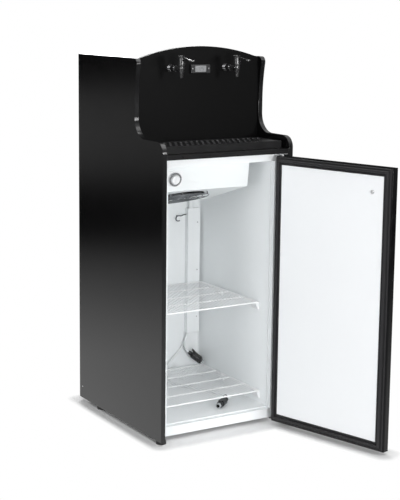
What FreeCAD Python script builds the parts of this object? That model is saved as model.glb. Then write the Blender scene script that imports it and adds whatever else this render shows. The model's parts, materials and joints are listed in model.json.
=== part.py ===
"""Two-tap refrigerated wine dispenser, as a parametric assembly of separate pieces.

The cabinet stands on the floor at z = 0. +X is to its right, +Y to its back, and the origin is the
middle of its footprint. The door is drawn closed and then swung to the angle it rests at.
"""
import FreeCAD
import Part
import math
import os

from FreeCAD import Placement, Rotation, Vector

doc = FreeCAD.newDocument("Dispenser")

# Driving sizes, in millimetres and degrees
SIZES = [
    ("Cab_width", 610, "outside width of the cabinet"),
    ("Cab_depth", 720, "depth of the side panels"),
    ("Cab_height", 1520, "top of the side panels above the floor"),
    ("Board", 19, "thickness of every laminated board"),
    ("Panel_lift", 12.5, "gap under the side panels, filled by the glides"),
    ("Shoulder_rise", 50, "side panels' shoulder above the deck board"),
    ("Nose", 45, "radius of the shoulder's front corner"),
    ("Sweep", 80, "radius of the hollow sweep above the shoulder"),
    ("Brow", 224, "setback of the upper front edge"),
    ("Flare", 22, "how far that edge comes forward again at the top"),
    ("Flare_tall", 180, "height over which it does so"),
    ("Crown", 22, "radius of the top front corner"),
    ("Tap_face", 230, "setback of the tap board's face"),
    ("Arch_drop", 4, "ends of the arch below the top of the side panels"),
    ("Arch_rise", 48, "rise of the arch"),
    ("Deck_drop", 382, "underside of the deck board below the top of the side panels"),
    ("Cover_back", 690, "setback of the rear of the refrigerator and its cover"),
    ("Well_drop", 68, "top of the machine compartment below the top of the side panels"),
    ("Cover_sheet", 1.2, "sheet thickness of the rear cover"),
    ("Louvre_count", 9, "louvre slots in the rear cover"),
    ("Louvre_tall", 8, "height of a louvre slot"),
    ("Louvre_pitch", 22, "spacing of the louvre slots"),
    ("Vent_count", 11, "slots in the top panel"),
    ("Tray_front", 38, "setback of the drip tray"),
    ("Tray_side", 11, "drip tray to each side panel"),
    ("Tray_depth", 165, "depth of the drip tray"),
    ("Tray_tall", 30, "height of the drip tray"),
    ("Tray_wall", 2.5, "wall of the drip tray"),
    ("Tray_ledge", 5, "ledge that carries the grille"),
    ("Grille_thick", 3, "thickness of the grille"),
    ("Grille_drop", 1.5, "how far the grille lies below the tray's rim"),
    ("Slot_pitch", 25, "spacing of the grille's slots"),
    ("Slot_wide", 10, "width of a grille slot"),
    ("Slot_lean", 28, "angle of the slots from front to back"),
    ("Slot_reach", 120, "depth of the slotted band"),
    ("Fit", 0.3, "running gap between pieces that only rest together"),
    ("Case_front", 49.5, "setback of the refrigerator's rim"),
    ("Case_low", 18, "underside of the refrigerator"),
    ("Skin", 1, "thickness of the steel casing"),
    ("Liner", 2, "thickness of the moulded liner"),
    ("Side_wall", 38, "refrigerator wall at the sides"),
    ("Roof_wall", 38, "refrigerator wall above the inside"),
    ("Floor_wall", 42, "refrigerator wall below the inside"),
    ("Back_wall", 68, "refrigerator wall behind the inside"),
    ("Liner_round", 12, "radius of the liner's upright corners"),
    ("Mouth_step", 4, "how much wider the liner is at its mouth"),
    ("Mouth_deep", 24, "depth of that wider mouth"),
    ("Door_gap", 3, "gap between the door and the boards round it"),
    ("Door_low", 13, "underside of the door"),
    ("Door_head", 10, "gap between the door's top and the deck board"),
    ("Door_thick", 34, "thickness of the door's slab"),
    ("Door_round", 6, "radius of the slab's upright edges"),
    ("Door_rest", 105.9, "angle at which the door stands open"),
    ("Pivot_in", 40, "hinge axis from the cabinet's right side"),
    ("Pivot_back", 12, "hinge axis from the cabinet's front"),
    ("Pin_radius", 4, "hinge pin"),
    ("Pin_play", 0.05, "radial play of every pin in its bush"),
    ("Bush_wall", 2.5, "wall of a hinge bush"),
    ("Bush_long", 18, "length of a hinge bush"),
    ("Plate", 3, "thickness of the hinge plates"),
    ("Seal_wide", 31, "width of the door seal's frame"),
    ("Seal_thick", 9, "thickness of the door seal's frame"),
    ("Seal_inset", 6, "door edge to the seal"),
    ("Seal_lip", 11, "width of the seal's magnet lip"),
    ("Lip_inset", 9, "outer edge of the seal to its magnet lip"),
    ("Seal_groove", 3, "width of the grooves beside the lip"),
    ("Panel_proud", 7, "how far the door's inner panel stands off the slab"),
    ("Knob_in", 86, "door knob from the door's free edge"),
    ("Knob_drop", 97, "door knob below the top of the door"),
    ("Knob_radius", 16, "radius of the door knob"),
    ("Knob_long", 27, "length of the door knob"),
    ("Bolt_head", 8, "radius of the knob bolt's head"),
    ("Tap_pitch", 261, "distance between the taps"),
    ("Tap_shift", -11.5, "middle of the pair of taps from the cabinet's middle"),
    ("Tap_drop", 41, "taps' shanks below the top of the side panels"),
    ("Tap_reach", 90, "board face to the spout's axis"),
    ("Shank_radius", 11, "radius of the threaded shank"),
    ("Flange_radius", 15, "radius of the shank's flange"),
    ("Flange_thick", 4, "thickness of the shank's flange"),
    ("Collar_long", 20, "length of the coupling nut"),
    ("Collar_radius", 13, "radius of the coupling nut"),
    ("Collar_off", 18, "shank's flange to the coupling nut"),
    ("Spout_drop", 36, "shank axis to the spout's mouth"),
    ("Spout_mouth", 6.5, "outer radius of the spout's mouth"),
    ("Spout_bore", 4.5, "bore of the spout"),
    ("Cup_radius", 12, "radius of the tap's cup"),
    ("Bonnet_radius", 14, "radius of the tap's bonnet"),
    ("Bonnet_top", 51, "shank axis to the bonnet's top"),
    ("Lever_high", 43, "shank axis to the lever's cross pin"),
    ("Lever_reach", 92, "cross pin to the lever's tip"),
    ("Lever_wide", 8, "width of the lever"),
    ("Lever_thick", 5, "thickness of the lever"),
    ("Lever_dip", 9, "how far the lever falls from its pin to its tip"),
    ("Boss_radius", 6, "radius of the lever's boss"),
    ("Lever_slot", 13, "how far the bonnet's slot goes below the cross pin"),
    ("Loop_radius", 12, "outer radius of the lever's loop"),
    ("Loop_hole", 7.5, "radius of the loop's hole"),
    ("Stem_radius", 2.5, "radius of the tap's stem"),
    ("Seat_travel", 4, "how far the seat lifts"),
    ("Gauge_shift", -4, "middle of the thermometer from the cabinet's middle"),
    ("Gauge_drop", 5, "middle of the thermometer below the taps' shanks"),
    ("Gauge_wide", 90, "width of the thermometer"),
    ("Gauge_tall", 34, "height of its housing"),
    ("Gauge_deep", 12, "how far it stands off the board"),
    ("Lens_wide", 52, "width of its window"),
    ("Lens_tall", 25, "height of its window"),
    ("Screw_pitch", 76, "distance between its screws"),
    ("Screw_head", 3, "radius of a small screw head"),
    ("Cooler_front", 78, "setback of the evaporator cover"),
    ("Cooler_lean", 13, "how far its face leans back at the bottom"),
    ("Cooler_in", 102, "its right side from the right wall of the inside"),
    ("Cooler_tall", 98, "height of its face"),
    ("Cooler_back", 400, "setback of its rear"),
    ("Cooler_drop", 95, "how much lower its rear edge is"),
    ("Cooler_sheet", 2, "sheet of the cover"),
    ("Guard_radius", 125, "radius of the fan guard"),
    ("Guard_rings", 5, "rings of the fan guard"),
    ("Guard_wire", 1.5, "radius of its wire"),
    ("Guard_in", 153, "its middle from the left wall of the inside"),
    ("Guard_along", 150, "its middle behind the cover's lower edge, along the slope"),
    ("Guard_gap", 12, "how far the guard hangs below the cover"),
    ("Fan_radius", 105, "radius of the fan"),
    ("Fan_blades", 5, "blades of the fan"),
    ("Dial_in", 43, "thermostat from the left wall of the inside"),
    ("Dial_drop", 47, "thermostat below the top of the inside"),
    ("Dial_wide", 72, "width of the thermostat plate"),
    ("Dial_tall", 63, "height of the thermostat plate"),
    ("Dial_radius", 24, "radius of the thermostat's ring"),
    ("Dial_knob", 18, "radius of the thermostat's knob"),
    ("Trunk_in", 75, "left side of the line trunking from the right wall of the inside"),
    ("Trunk_wide", 62, "width of the trunking"),
    ("Trunk_deep", 25, "depth of the trunking"),
    ("Trunk_low", 267, "bottom of the trunking"),
    ("Trunk_drop", 265, "top of the trunking below the top of the inside"),
    ("Trunk_wall", 2, "wall of the trunking"),
    ("Trunk_screw", 72, "lowest screw above the bottom of the trunking"),
    ("Trunk_screw_pitch", 216, "spacing of its screws"),
    ("Conduit_radius", 12, "radius of the conduit above the trunking"),
    ("Pump_back", 324, "setback of the pumps' outlets"),
    ("Hose_radius", 5, "outer radius of a product hose"),
    ("Line_radius", 5, "outer radius of a product line"),
    ("Shelf_gap", 4, "shelf to each side wall"),
    ("Shelf_rear", 28, "rear of the upper shelf to the back wall"),
    ("Upper_shelf", 500, "top of the upper shelf"),
    ("Upper_front", 130, "setback of the upper shelf"),
    ("Lower_shelf", 119, "top of the lower shelf"),
    ("Lower_front", 112, "setback of the lower shelf"),
    ("Rod_radius", 3, "frame rods of a shelf"),
    ("Wire_radius", 1.6, "wires of a shelf"),
    ("Wire_count", 31, "wires of a shelf"),
    ("Bar_count", 3, "cross bars of a shelf"),
    ("Bracket_tall", 30, "height of a shelf bracket"),
    ("Bracket_deep", 46, "depth of a shelf bracket"),
    ("Coupler_radius", 15, "radius of a bag coupler"),
    ("Coupler_long", 66, "length of a bag coupler"),
    ("Barb_long", 10, "length of its hose barb"),
    ("Glide_radius", 20, "radius of a glide"),
    ("Glide_front", 34, "setback of the front glides"),
    ("Glide_back", 545, "setback of the rear glides"),
    ("Glide_hinge", 150, "setback of the right front glide, behind the hinge plate"),
    ("Coupler_in", 10, "tip of the coupler on the shelf from the right wall of the inside"),
    ("Coupler_back", 568, "setback of that tip"),
    ("Coupler_high", 9.6, "height of that tip above the lower shelf"),
    ("Compressor_in", 111, "middle of the compressor from the left side panel"),
    ("Compressor_back", 590, "setback of the middle of the compressor"),
    ("Can_radius", 62, "radius of the compressor's can"),
    ("Can_tall", 84, "height of its straight wall"),
    ("Can_seat", 40, "bottom of that wall above the deck board"),
    ("Pump_head_wide", 54, "width of a pump's head"),
    ("Pump_head_tall", 58, "height of a pump's head"),
    ("Pump_motor", 24, "radius of a pump's motor"),
    ("Pump_motor_long", 60, "length of a pump's motor"),
    ("Condenser_side", -60, "left end of the condenser from the cabinet's middle"),
    ("Condenser_wide", 210, "length of the condenser"),
    ("Condenser_back", 632, "setback of the condenser"),
    ("Condenser_tall", 200, "height of the condenser"),
    ("Inlet_in", 71, "mains inlet from the right side panel"),
    ("Inlet_high", 40, "mains inlet above the deck board"),
    ("Foot_radius", 11, "radius of the refrigerator's own feet"),
    ("Foot_front", 112, "setback of those feet in front"),
    ("Foot_back", 610, "setback of those feet at the back"),
]

sheet = doc.addObject("Spreadsheet::Sheet", "Sizes")
for row, (alias, number, meaning) in enumerate(SIZES, start=1):
    sheet.set("A%d" % row, meaning)
    sheet.set("B%d" % row, str(number))
    sheet.setAlias("B%d" % row, alias)
doc.recompute()


class Size:
    """A number of the sheet, or a sum of such numbers, with the words that bind a property to it."""

    def __init__(self, value, words):
        self.value = value
        self.words = words

    def __add__(self, other):
        other = as_size(other)
        return Size(self.value + other.value, "(%s + %s)" % (self.words, other.words))

    def __sub__(self, other):
        other = as_size(other)
        return Size(self.value - other.value, "(%s - %s)" % (self.words, other.words))

    def __mul__(self, other):
        other = as_size(other)
        return Size(self.value * other.value, "(%s * %s)" % (self.words, other.words))

    def __truediv__(self, other):
        other = as_size(other)
        return Size(self.value / other.value, "(%s / %s)" % (self.words, other.words))

    def __neg__(self):
        return Size(-self.value, "(-1 * %s)" % self.words)

    def __radd__(self, other):
        return as_size(other) + self

    def __rsub__(self, other):
        return as_size(other) - self

    def __rmul__(self, other):
        return as_size(other) * self

    def __float__(self):
        return float(self.value)


def as_size(number):
    """A plain number as a Size, so that both can be used in one sum."""
    if isinstance(number, Size):
        return number
    return Size(float(number), repr(float(number)))


def size(alias):
    """The named value of the sheet."""
    return Size(float(sheet.get(alias)), "Sizes." + alias)


def bind(obj, **sizes):
    """Bind properties to sizes; two underscores in a name stand for a dot."""
    for name, amount in sizes.items():
        obj.setExpression(name.replace("__", "."), as_size(amount).words)
    return obj


def place(obj, x=0, y=0, z=0):
    """Bind the position of an object."""
    bind(obj, Placement__Base__x=x, Placement__Base__y=y, Placement__Base__z=z)
    return obj


def box(name, x, y, z, length, width, height):
    """A block from its lowest corner, with its sizes along X, Y and Z."""
    solid = doc.addObject("Part::Box", name)
    bind(solid, Length=length, Width=width, Height=height)
    return place(solid, x, y, z)


AXES = {
    "x": Rotation(Vector(0, 0, 1), Vector(1, 0, 0)),
    "y": Rotation(Vector(0, 0, 1), Vector(0, 1, 0)),
    "z": Rotation(),
}


def rod(name, x, y, z, radius, length, axis="z"):
    """A round bar from the middle of its first end, along one of the axes."""
    solid = doc.addObject("Part::Cylinder", name)
    solid.Placement = Placement(Vector(), AXES[axis])
    bind(solid, Radius=radius, Height=length)
    return place(solid, x, y, z)


def cut(name, base, *tools):
    """The base with the tools taken out of it."""
    tool = tools[0] if len(tools) == 1 else fuse(name + "_tools", *tools)
    result = doc.addObject("Part::Cut", name)
    result.Base = base
    result.Tool = tool
    return result


def fuse(name, *shapes):
    """Several shapes made into one."""
    result = doc.addObject("Part::MultiFuse", name)
    result.Shapes = list(shapes)
    result.Refine = True
    return result


def group(name, *shapes):
    """Separate solids that share one node."""
    result = doc.addObject("Part::Compound", name)
    result.Links = list(shapes)
    return result


def formed(name, shape):
    """A piece whose shape is worked out here from the sheet."""
    piece = doc.addObject("Part::Feature", name)
    piece.Shape = shape
    return piece


def new_body(name):
    return doc.addObject("PartDesign::Body", name)


def origin_plane(body, role):
    for feature in body.Origin.OriginFeatures:
        if feature.Role == role:
            return feature
    raise RuntimeError("no plane " + role)


def outline(body, role, corners, bows=None):
    """A closed outline on an origin plane. bows maps the number of a side to its radius and centre."""
    sketch = body.newObject("Sketcher::SketchObject", body.Name + "_outline")
    sketch.AttachmentSupport = [(origin_plane(body, role), "")]
    sketch.MapMode = "FlatFace"
    bows = bows or {}
    count = len(corners)
    spots = [Vector(float(a), float(b), 0) for a, b in corners]
    ends = []
    for side in range(count):
        start = spots[side]
        finish = spots[(side + 1) % count]
        if side in bows:
            radius, middle = bows[side]
            centre = Vector(float(middle[0]), float(middle[1]), 0)
            first = math.atan2(start.y - centre.y, start.x - centre.x)
            last = math.atan2(finish.y - centre.y, finish.x - centre.x)
            ahead = (last - first) % (2 * math.pi) < math.pi
            circle = Part.Circle(centre, Vector(0, 0, 1), float(radius))
            angles = (first, last) if ahead else (last, first)
            sketch.addGeometry(Part.ArcOfCircle(circle, angles[0], angles[1]), False)
            ends.append((1, 2) if ahead else (2, 1))
        else:
            sketch.addGeometry(Part.LineSegment(start, finish), False)
            ends.append((1, 2))
    for side in range(count):
        following = (side + 1) % count
        add_constraint(sketch, "Coincident", side, ends[side][1], following, ends[following][0])
    for side in range(count):
        for kind, number in (("DistanceX", corners[side][0]), ("DistanceY", corners[side][1])):
            add_constraint(sketch, kind, -1, 1, side, ends[side][0], amount=number)
    for side, (radius, middle) in bows.items():
        add_constraint(sketch, "Radius", side, amount=radius)
    return sketch


def add_constraint(sketch, kind, *where, amount=None):
    """One constraint, bound to a size where it has one."""
    from Sketcher import Constraint
    if amount is None:
        sketch.addConstraint(Constraint(kind, *where))
        return
    amount = as_size(amount)
    number = sketch.addConstraint(Constraint(kind, *where, amount.value))
    if "Sizes" in amount.words:
        sketch.setExpression("Constraints[%d]" % number, amount.words)


def add_hole(sketch, x, y, radius):
    """A circle inside an outline."""
    number = sketch.addGeometry(Part.Circle(Vector(float(x), float(y), 0), Vector(0, 0, 1), float(radius)), False)
    add_constraint(sketch, "DistanceX", -1, 1, number, 3, amount=x)
    add_constraint(sketch, "DistanceY", -1, 1, number, 3, amount=y)
    add_constraint(sketch, "Radius", number, amount=radius)


def pad(body, sketch, length, backwards=False):
    """Thicken an outline into a board."""
    feature = body.newObject("PartDesign::Pad", body.Name + "_pad")
    feature.Profile = sketch
    feature.Reversed = backwards
    bind(feature, Length=length)
    return feature


def revolve(body, sketch, axis):
    """Turn an outline about one axis of its sketch."""
    feature = body.newObject("PartDesign::Revolution", body.Name + "_turned")
    feature.Profile = sketch
    feature.ReferenceAxis = (sketch, [axis])
    feature.Angle = 360
    return feature


def round_edges(body, base, radius, spots):
    """Round the edges of a board whose middles lie at the given places."""
    doc.recompute()
    names = []
    for spot in spots:
        gaps = [(edge.CenterOfMass.distanceToPoint(spot), number)
                for number, edge in enumerate(base.Shape.Edges, start=1)]
        names.append("Edge%d" % min(gaps)[1])
    feature = body.newObject("PartDesign::Fillet", body.Name + "_round")
    feature.Base = (base, names)
    bind(feature, Radius=radius)
    return feature


def route(points, radii=None):
    """A path of straight runs joined by tangent arcs; without radii each arc is as large as fits."""
    runs = [(b - a).Length for a, b in zip(points, points[1:])]
    edges = []
    used = []
    here = points[0]
    for number in range(1, len(points) - 1):
        before = (points[number] - points[number - 1]).normalize()
        after = (points[number + 1] - points[number]).normalize()
        turn = before.getAngle(after)
        half = math.tan(turn / 2)
        radius = 0.45 * min(runs[number - 1], runs[number]) / half
        if radii:
            radius = radii[number - 1]
        reach = radius * half
        entry = points[number] - before * reach
        leave = points[number] + after * reach
        inward = (after - before).normalize()
        middle = points[number] + inward * (radius / math.cos(turn / 2) - radius)
        edges.append(Part.LineSegment(here, entry).toShape())
        edges.append(Part.Arc(entry, middle, leave).toShape())
        used.append(radius)
        here = leave
    edges.append(Part.LineSegment(here, points[-1]).toShape())
    return Part.Wire(edges), used


def tube(path, outer, inner=0.0):
    """A round tube along a path, hollow where it has a bore."""
    start = path.Edges[0].firstVertex().Point
    ahead = path.Edges[0].tangentAt(path.Edges[0].FirstParameter)
    solids = []
    for radius in (outer, inner):
        if radius:
            profile = Part.Wire(Part.Circle(start, ahead, radius).toShape())
            solids.append(path.makePipeShell([profile], True, False))
    return solids[0].cut(solids[1]) if inner else solids[0]


PIECES = {}


def piece(name, obj):
    """Name a finished piece; its file takes the same name."""
    obj.Label = name
    PIECES[name] = obj
    return obj


width = size("Cab_width")
depth = size("Cab_depth")
board = size("Board")
fit = size("Fit")
front = -depth / 2
front_y = float(front)
inner = width / 2 - board
deck_low = size("Cab_height") - size("Deck_drop")
deck_top = deck_low + board
shoulder = deck_top + size("Shoulder_rise")
tap_high = size("Cab_height") - size("Tap_drop")
door_top = deck_low - size("Door_head")
knob_high = door_top - size("Knob_drop")
case_front = front + size("Case_front")
case_back = front + size("Cover_back")
room_side = inner - size("Side_wall")
room_top = deck_low - size("Roof_wall")
room_floor = size("Case_low") + size("Floor_wall")
room_back = case_back - size("Back_wall")
well_top = size("Cab_height") - size("Well_drop")
cooler_right = room_side - size("Cooler_in")
cooler_low = room_top - size("Cooler_tall")
dial_high = room_top - size("Dial_drop")
trunk_top = room_top - size("Trunk_drop")
trunk_left = room_side - size("Trunk_in")
shelf_deep = room_back - front - size("Upper_front") - size("Shelf_rear")


def side_panel(name, x):
    """A side panel: straight back and top, swept shoulder, flared upper front edge."""
    body = new_body(name)
    brow = front + size("Brow")
    rise = size("Flare_tall")
    flare = size("Flare")
    bow = (rise * rise + flare * flare) / (2 * flare)
    corners = [
        (front, size("Panel_lift")),
        (-front, size("Panel_lift")),
        (-front, size("Cab_height")),
        (brow - flare, size("Cab_height")),
        (brow, size("Cab_height") - rise),
        (brow, shoulder),
        (front, shoulder),
    ]
    sketch = outline(body, "YZ_Plane", corners, {3: (bow, (brow - bow, size("Cab_height") - rise))})
    slab = pad(body, sketch, board)
    half = float(board) / 2
    nose = round_edges(body, slab, size("Nose"), [Vector(half, float(front), float(shoulder))])
    sweep = round_edges(body, nose, size("Sweep"), [Vector(half, float(brow), float(shoulder))])
    round_edges(body, sweep, size("Crown"), [Vector(half, float(brow - flare), float(size("Cab_height")))])
    place(body, x)
    return piece(name, body)


side_panel("side_panel_left", -width / 2)
side_panel("side_panel_right", inner)


# Boards between the side panels

def tap_x(side):
    """Where the left (-1) or right (1) tap stands."""
    return size("Tap_shift") + side * size("Tap_pitch") / 2


def tap_board():
    body = new_body("tap_board")
    rise = size("Arch_rise")
    radius = (inner * inner + rise * rise) / (2 * rise)
    spring = size("Cab_height") - size("Arch_drop")
    corners = [(-inner, deck_top), (inner, deck_top), (inner, spring), (-inner, spring)]
    sketch = outline(body, "XZ_Plane", corners, {2: (radius, (0, spring + rise - radius))})
    for side in (-1, 1):
        add_hole(sketch, tap_x(side), tap_high, size("Shank_radius") + fit)
    pad(body, sketch, board)
    place(body, 0, front + size("Tap_face") + board, 0)
    return piece("tap_board", body)


tap_board()
piece("deck_board", box("deck_board", -inner, front, deck_low, inner * 2, size("Cover_back"), board))


def top_panel():
    """The board over the machine compartment, with a row of slots for the warm air."""
    start = front + size("Tap_face") + board
    reach = size("Cover_back") - size("Tap_face") - board
    low = well_top - board
    slab = box("top_slab", -inner, start, low, inner * 2, reach, board)
    ways = [rod("line_way_%d" % side, tap_x(side), front + size("Pump_back"), low - 1,
                size("Line_radius") + 1, board + 2) for side in (-1, 1)]
    pitch = inner * 2 / (size("Vent_count") + 1)
    slots = []
    for number in range(int(float(size("Vent_count")))):
        x = -inner + pitch * (number + 1) - pitch / 6
        slots.append(box("top_slot_%d" % number, x, start + reach / 3, low - 1, pitch / 3, reach / 2, board + 2))
    return piece("top_panel", cut("top_panel", slab, *slots, *ways))


top_panel()


def rear_cover():
    """The steel cover behind the machine compartment, with pressed louvre slots."""
    tall = well_top - deck_top
    sheet_wall = size("Cover_sheet")
    plate = box("rear_plate", -inner, case_back, deck_top, inner * 2, sheet_wall, tall)
    slots = []
    middle = deck_top + tall / 2
    count = int(float(size("Louvre_count")))
    for number in range(count):
        z = middle + size("Louvre_pitch") * (number - (count - 1) / 2) - size("Louvre_tall") / 2
        for side in (-1, 0):
            x = inner * 0.12 if side == 0 else inner * -0.88
            slots.append(box("louvre_%d_%d" % (side, number), x, case_back - 1, z,
                             inner * 0.76, sheet_wall + 2, size("Louvre_tall")))
    return piece("rear_cover", cut("rear_cover", plate, *slots))


rear_cover()


# The refrigerator

def fridge():
    low = size("Case_low")
    skin = size("Skin")
    liner = size("Liner")
    tall = deck_low - low
    deep = case_back - case_front
    shell = box("casing_block", -inner, case_front + liner, low, inner * 2, deep - liner, tall)
    hollow = box("casing_hollow", -inner + skin, case_front + liner - 1, low + skin,
                 (inner - skin) * 2, deep - liner - skin + 1, tall - skin * 2)
    piece("fridge_casing", cut("fridge_casing", shell, hollow))

    foam = box("foam_block", -inner + skin, case_front + liner, low + skin,
               (inner - skin) * 2, deep - liner - skin, tall - skin * 2)
    room = box("foam_room", -room_side - liner, case_front, room_floor - liner,
               (room_side + liner) * 2, room_back + liner - case_front, room_top - room_floor + liner * 2)
    step = size("Mouth_step")
    mouth_deep = size("Mouth_deep")

    def mouth(name, near, grown, deep):
        """A block as large as the mouth, grown on its four sides."""
        return box(name, -room_side - grown, near, room_floor - grown, (room_side + grown) * 2, deep,
                   room_top - room_floor + grown * 2)

    piece("fridge_insulation", cut("fridge_insulation", foam, room,
                                   mouth("foam_mouth", case_front, step + liner, mouth_deep + liner)))

    flange = box("liner_flange", -inner, case_front, low, inner * 2, liner, tall)
    pocket = box("liner_pocket", -room_side - liner, case_front, room_floor - liner,
                 (room_side + liner) * 2, room_back + liner - case_front, room_top - room_floor + liner * 2)
    inside = box("liner_inside", -room_side, case_front - 1, room_floor,
                 room_side * 2, room_back - case_front + 1, room_top - room_floor)
    rounded = doc.addObject("Part::Fillet", "liner_inside_round")
    rounded.Base = inside
    doc.recompute()
    upright = [number for number, edge in enumerate(inside.Shape.Edges, start=1)
               if abs(edge.tangentAt(edge.FirstParameter).z) > 0.9
               and edge.CenterOfMass.y > float(case_front) + 1]
    radius = float(size("Liner_round"))
    rounded.Edges = [(number, radius, radius) for number in upright]
    rim = mouth("liner_rim", case_front, step + liner, mouth_deep + liner)
    rim_inside = mouth("liner_rim_inside", case_front - 1, step, mouth_deep + 1)
    piece("fridge_liner", cut("fridge_liner", fuse("liner_full", flange, pocket, rim), rounded, rim_inside))


fridge()


def evaporator():
    """The cover hung from the roof: leaning face, underside sloping down to the back, fan opening."""
    lean = size("Cooler_lean")
    x_left = -room_side
    wide = cooler_right + room_side
    face = front + size("Cooler_front")
    rear = front + size("Cooler_back")
    low = cooler_low
    body = new_body("evaporator_cover_form")
    corners = [
        (face, room_top),
        (face + lean, low),
        (rear, low - size("Cooler_drop")),
        (rear, room_top),
    ]
    pad(body, outline(body, "YZ_Plane", corners), wide)
    place(body, x_left)
    wall = size("Cooler_sheet")
    slope = size("Cooler_drop") / (size("Cooler_back") - size("Cooler_front") - lean)
    upright = wall / math.cos(slope_angle())
    core = new_body("evaporator_cover_core")
    inner_corners = [
        (face + wall, room_top),
        (face + lean + wall, low + upright - slope * wall),
        (rear - wall, low - size("Cooler_drop") + upright + slope * wall),
        (rear - wall, room_top),
    ]
    pad(core, outline(core, "YZ_Plane", inner_corners), wide - wall * 2)
    place(core, x_left + wall)
    opening = fan_part(doc.addObject("Part::Cylinder", "fan_opening"), 0)
    bind(opening, Radius=size("Fan_radius") + 6, Height=60)
    opening.Placement = fan_frame(-30)
    knob_hole = rod("thermostat_hole", size("Dial_in") - room_side, face - 10, dial_high, 8, 40, "y")
    piece("evaporator_housing", cut("evaporator_housing", body, core, opening, knob_hole))


def slope_angle():
    """Angle of the cover's underside below the horizontal, in radians."""
    run = float(size("Cooler_back") - size("Cooler_front") - size("Cooler_lean"))
    return math.atan2(float(size("Cooler_drop")), run)


def fan_frame(lift):
    """Placement whose Z axis is the fan's axis, a distance above the cover's underside."""
    angle = slope_angle()
    along = float(size("Guard_along"))
    edge_y = float(front + size("Cooler_front") + size("Cooler_lean"))
    up = Vector(0, math.sin(angle), math.cos(angle))
    spot = Vector(float(size("Guard_in") - room_side), edge_y + along * math.cos(angle),
                  float(cooler_low) - along * math.sin(angle)) + up * lift
    return Placement(spot, Rotation(Vector(1, 0, 0), -math.degrees(angle)))


def fan_part(obj, lift):
    """Stand a piece on the fan's axis."""
    obj.Placement = fan_frame(lift)
    return obj


evaporator()


def fan_guard():
    """Concentric wire rings on four spokes, hung below the cover on short feet."""
    wire = float(size("Guard_wire"))
    outer = float(size("Guard_radius"))
    count = int(float(size("Guard_rings")))
    gap = float(size("Guard_gap"))
    solids = []
    for number in range(count):
        radius = outer * (number + 1) / count - wire
        solids.append(Part.makeTorus(radius, wire))
    for number in range(4):
        spoke = Part.makeCylinder(wire, 2 * outer, Vector(-outer, 0, wire * 1.2), Vector(1, 0, 0))
        spoke.rotate(Vector(), Vector(0, 0, 1), 45 * number)
        solids.append(spoke)
    for number in range(4):
        angle = math.radians(45 + 90 * number)
        foot = Part.makeCylinder(wire * 1.6, gap, Vector(outer * math.cos(angle) * 0.98,
                                                         outer * math.sin(angle) * 0.98, 0))
        solids.append(foot)
    shape = solids[0].multiFuse(solids[1:])
    return piece("fan_guard", fan_part(formed("fan_guard", shape), -gap))


def fan_blades():
    """A hub with pitched blades."""
    radius = float(size("Fan_radius"))
    count = int(float(size("Fan_blades")))
    hub = Part.makeCylinder(18, 18, Vector(0, 0, -2))
    bore = Part.makeCylinder(4 + float(size("Pin_play")), 30, Vector(0, 0, -6))
    rim = Part.makeCylinder(radius, 60, Vector(0, 0, -25))
    solids = [hub]
    for number in range(count):
        blade = Part.makeBox(radius, 46, 2, Vector(14, -23, -1))
        blade.rotate(Vector(), Vector(1, 0, 0), 24)
        blade.translate(Vector(0, 0, 7))
        blade.rotate(Vector(), Vector(0, 0, 1), 360 * number / count)
        solids.append(blade.common(rim))
    shape = solids[0].multiFuse(solids[1:]).cut(bore)
    return piece("fan_blades", fan_part(formed("fan_blades", shape), 8))


def fan_motor():
    """The motor above the fan, its shaft, and the bracket that screws it to the cover."""
    can = Part.makeCylinder(24, 34, Vector(0, 0, 33))
    shaft = Part.makeCylinder(4, 34, Vector(0, 0, 3))
    reach = float(size("Fan_radius")) + 14
    solids = [can, shaft]
    for side in (-1, 1):
        arm = Part.makeBox(reach, 14, 2.5, Vector(0 if side > 0 else -reach, -7, 43))
        leg = Part.makeBox(2.5, 14, 45.5, Vector(side * reach - (2.5 if side > 0 else 0), -7, 0))
        solids += [arm, leg]
    shape = solids[0].multiFuse(solids[1:])
    return piece("fan_motor", fan_part(formed("fan_motor", shape), float(size("Cooler_sheet")) + 0.1))


fan_guard()
fan_blades()
fan_motor()


def evaporator_coil():
    """The finned coil behind the fan: fins across it and tubes through them."""
    x_left = -room_side + 30
    wide = cooler_right + room_side - 60
    y_low = front + size("Cooler_back") - 62
    z_low = room_top - 118
    fins = []
    count = 16
    for number in range(count):
        x = x_left + wide * (number / (count - 1.0)) - (1 if number == count - 1 else 0)
        fins.append(box("coil_fin_%d" % number, x, y_low, z_low, 1, 48, 112))
    for number in range(4):
        fins.append(rod("coil_tube_%d" % number, x_left - 10, y_low + 24, z_low + 14 + 28 * number,
                        4.5, wide + 20, "x"))
    fins.append(box("coil_hanger", x_left, y_low + 18, z_low + 112, wide, 12, 6))
    return piece("evaporator_coil", fuse("evaporator_coil", *fins))


evaporator_coil()


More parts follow.
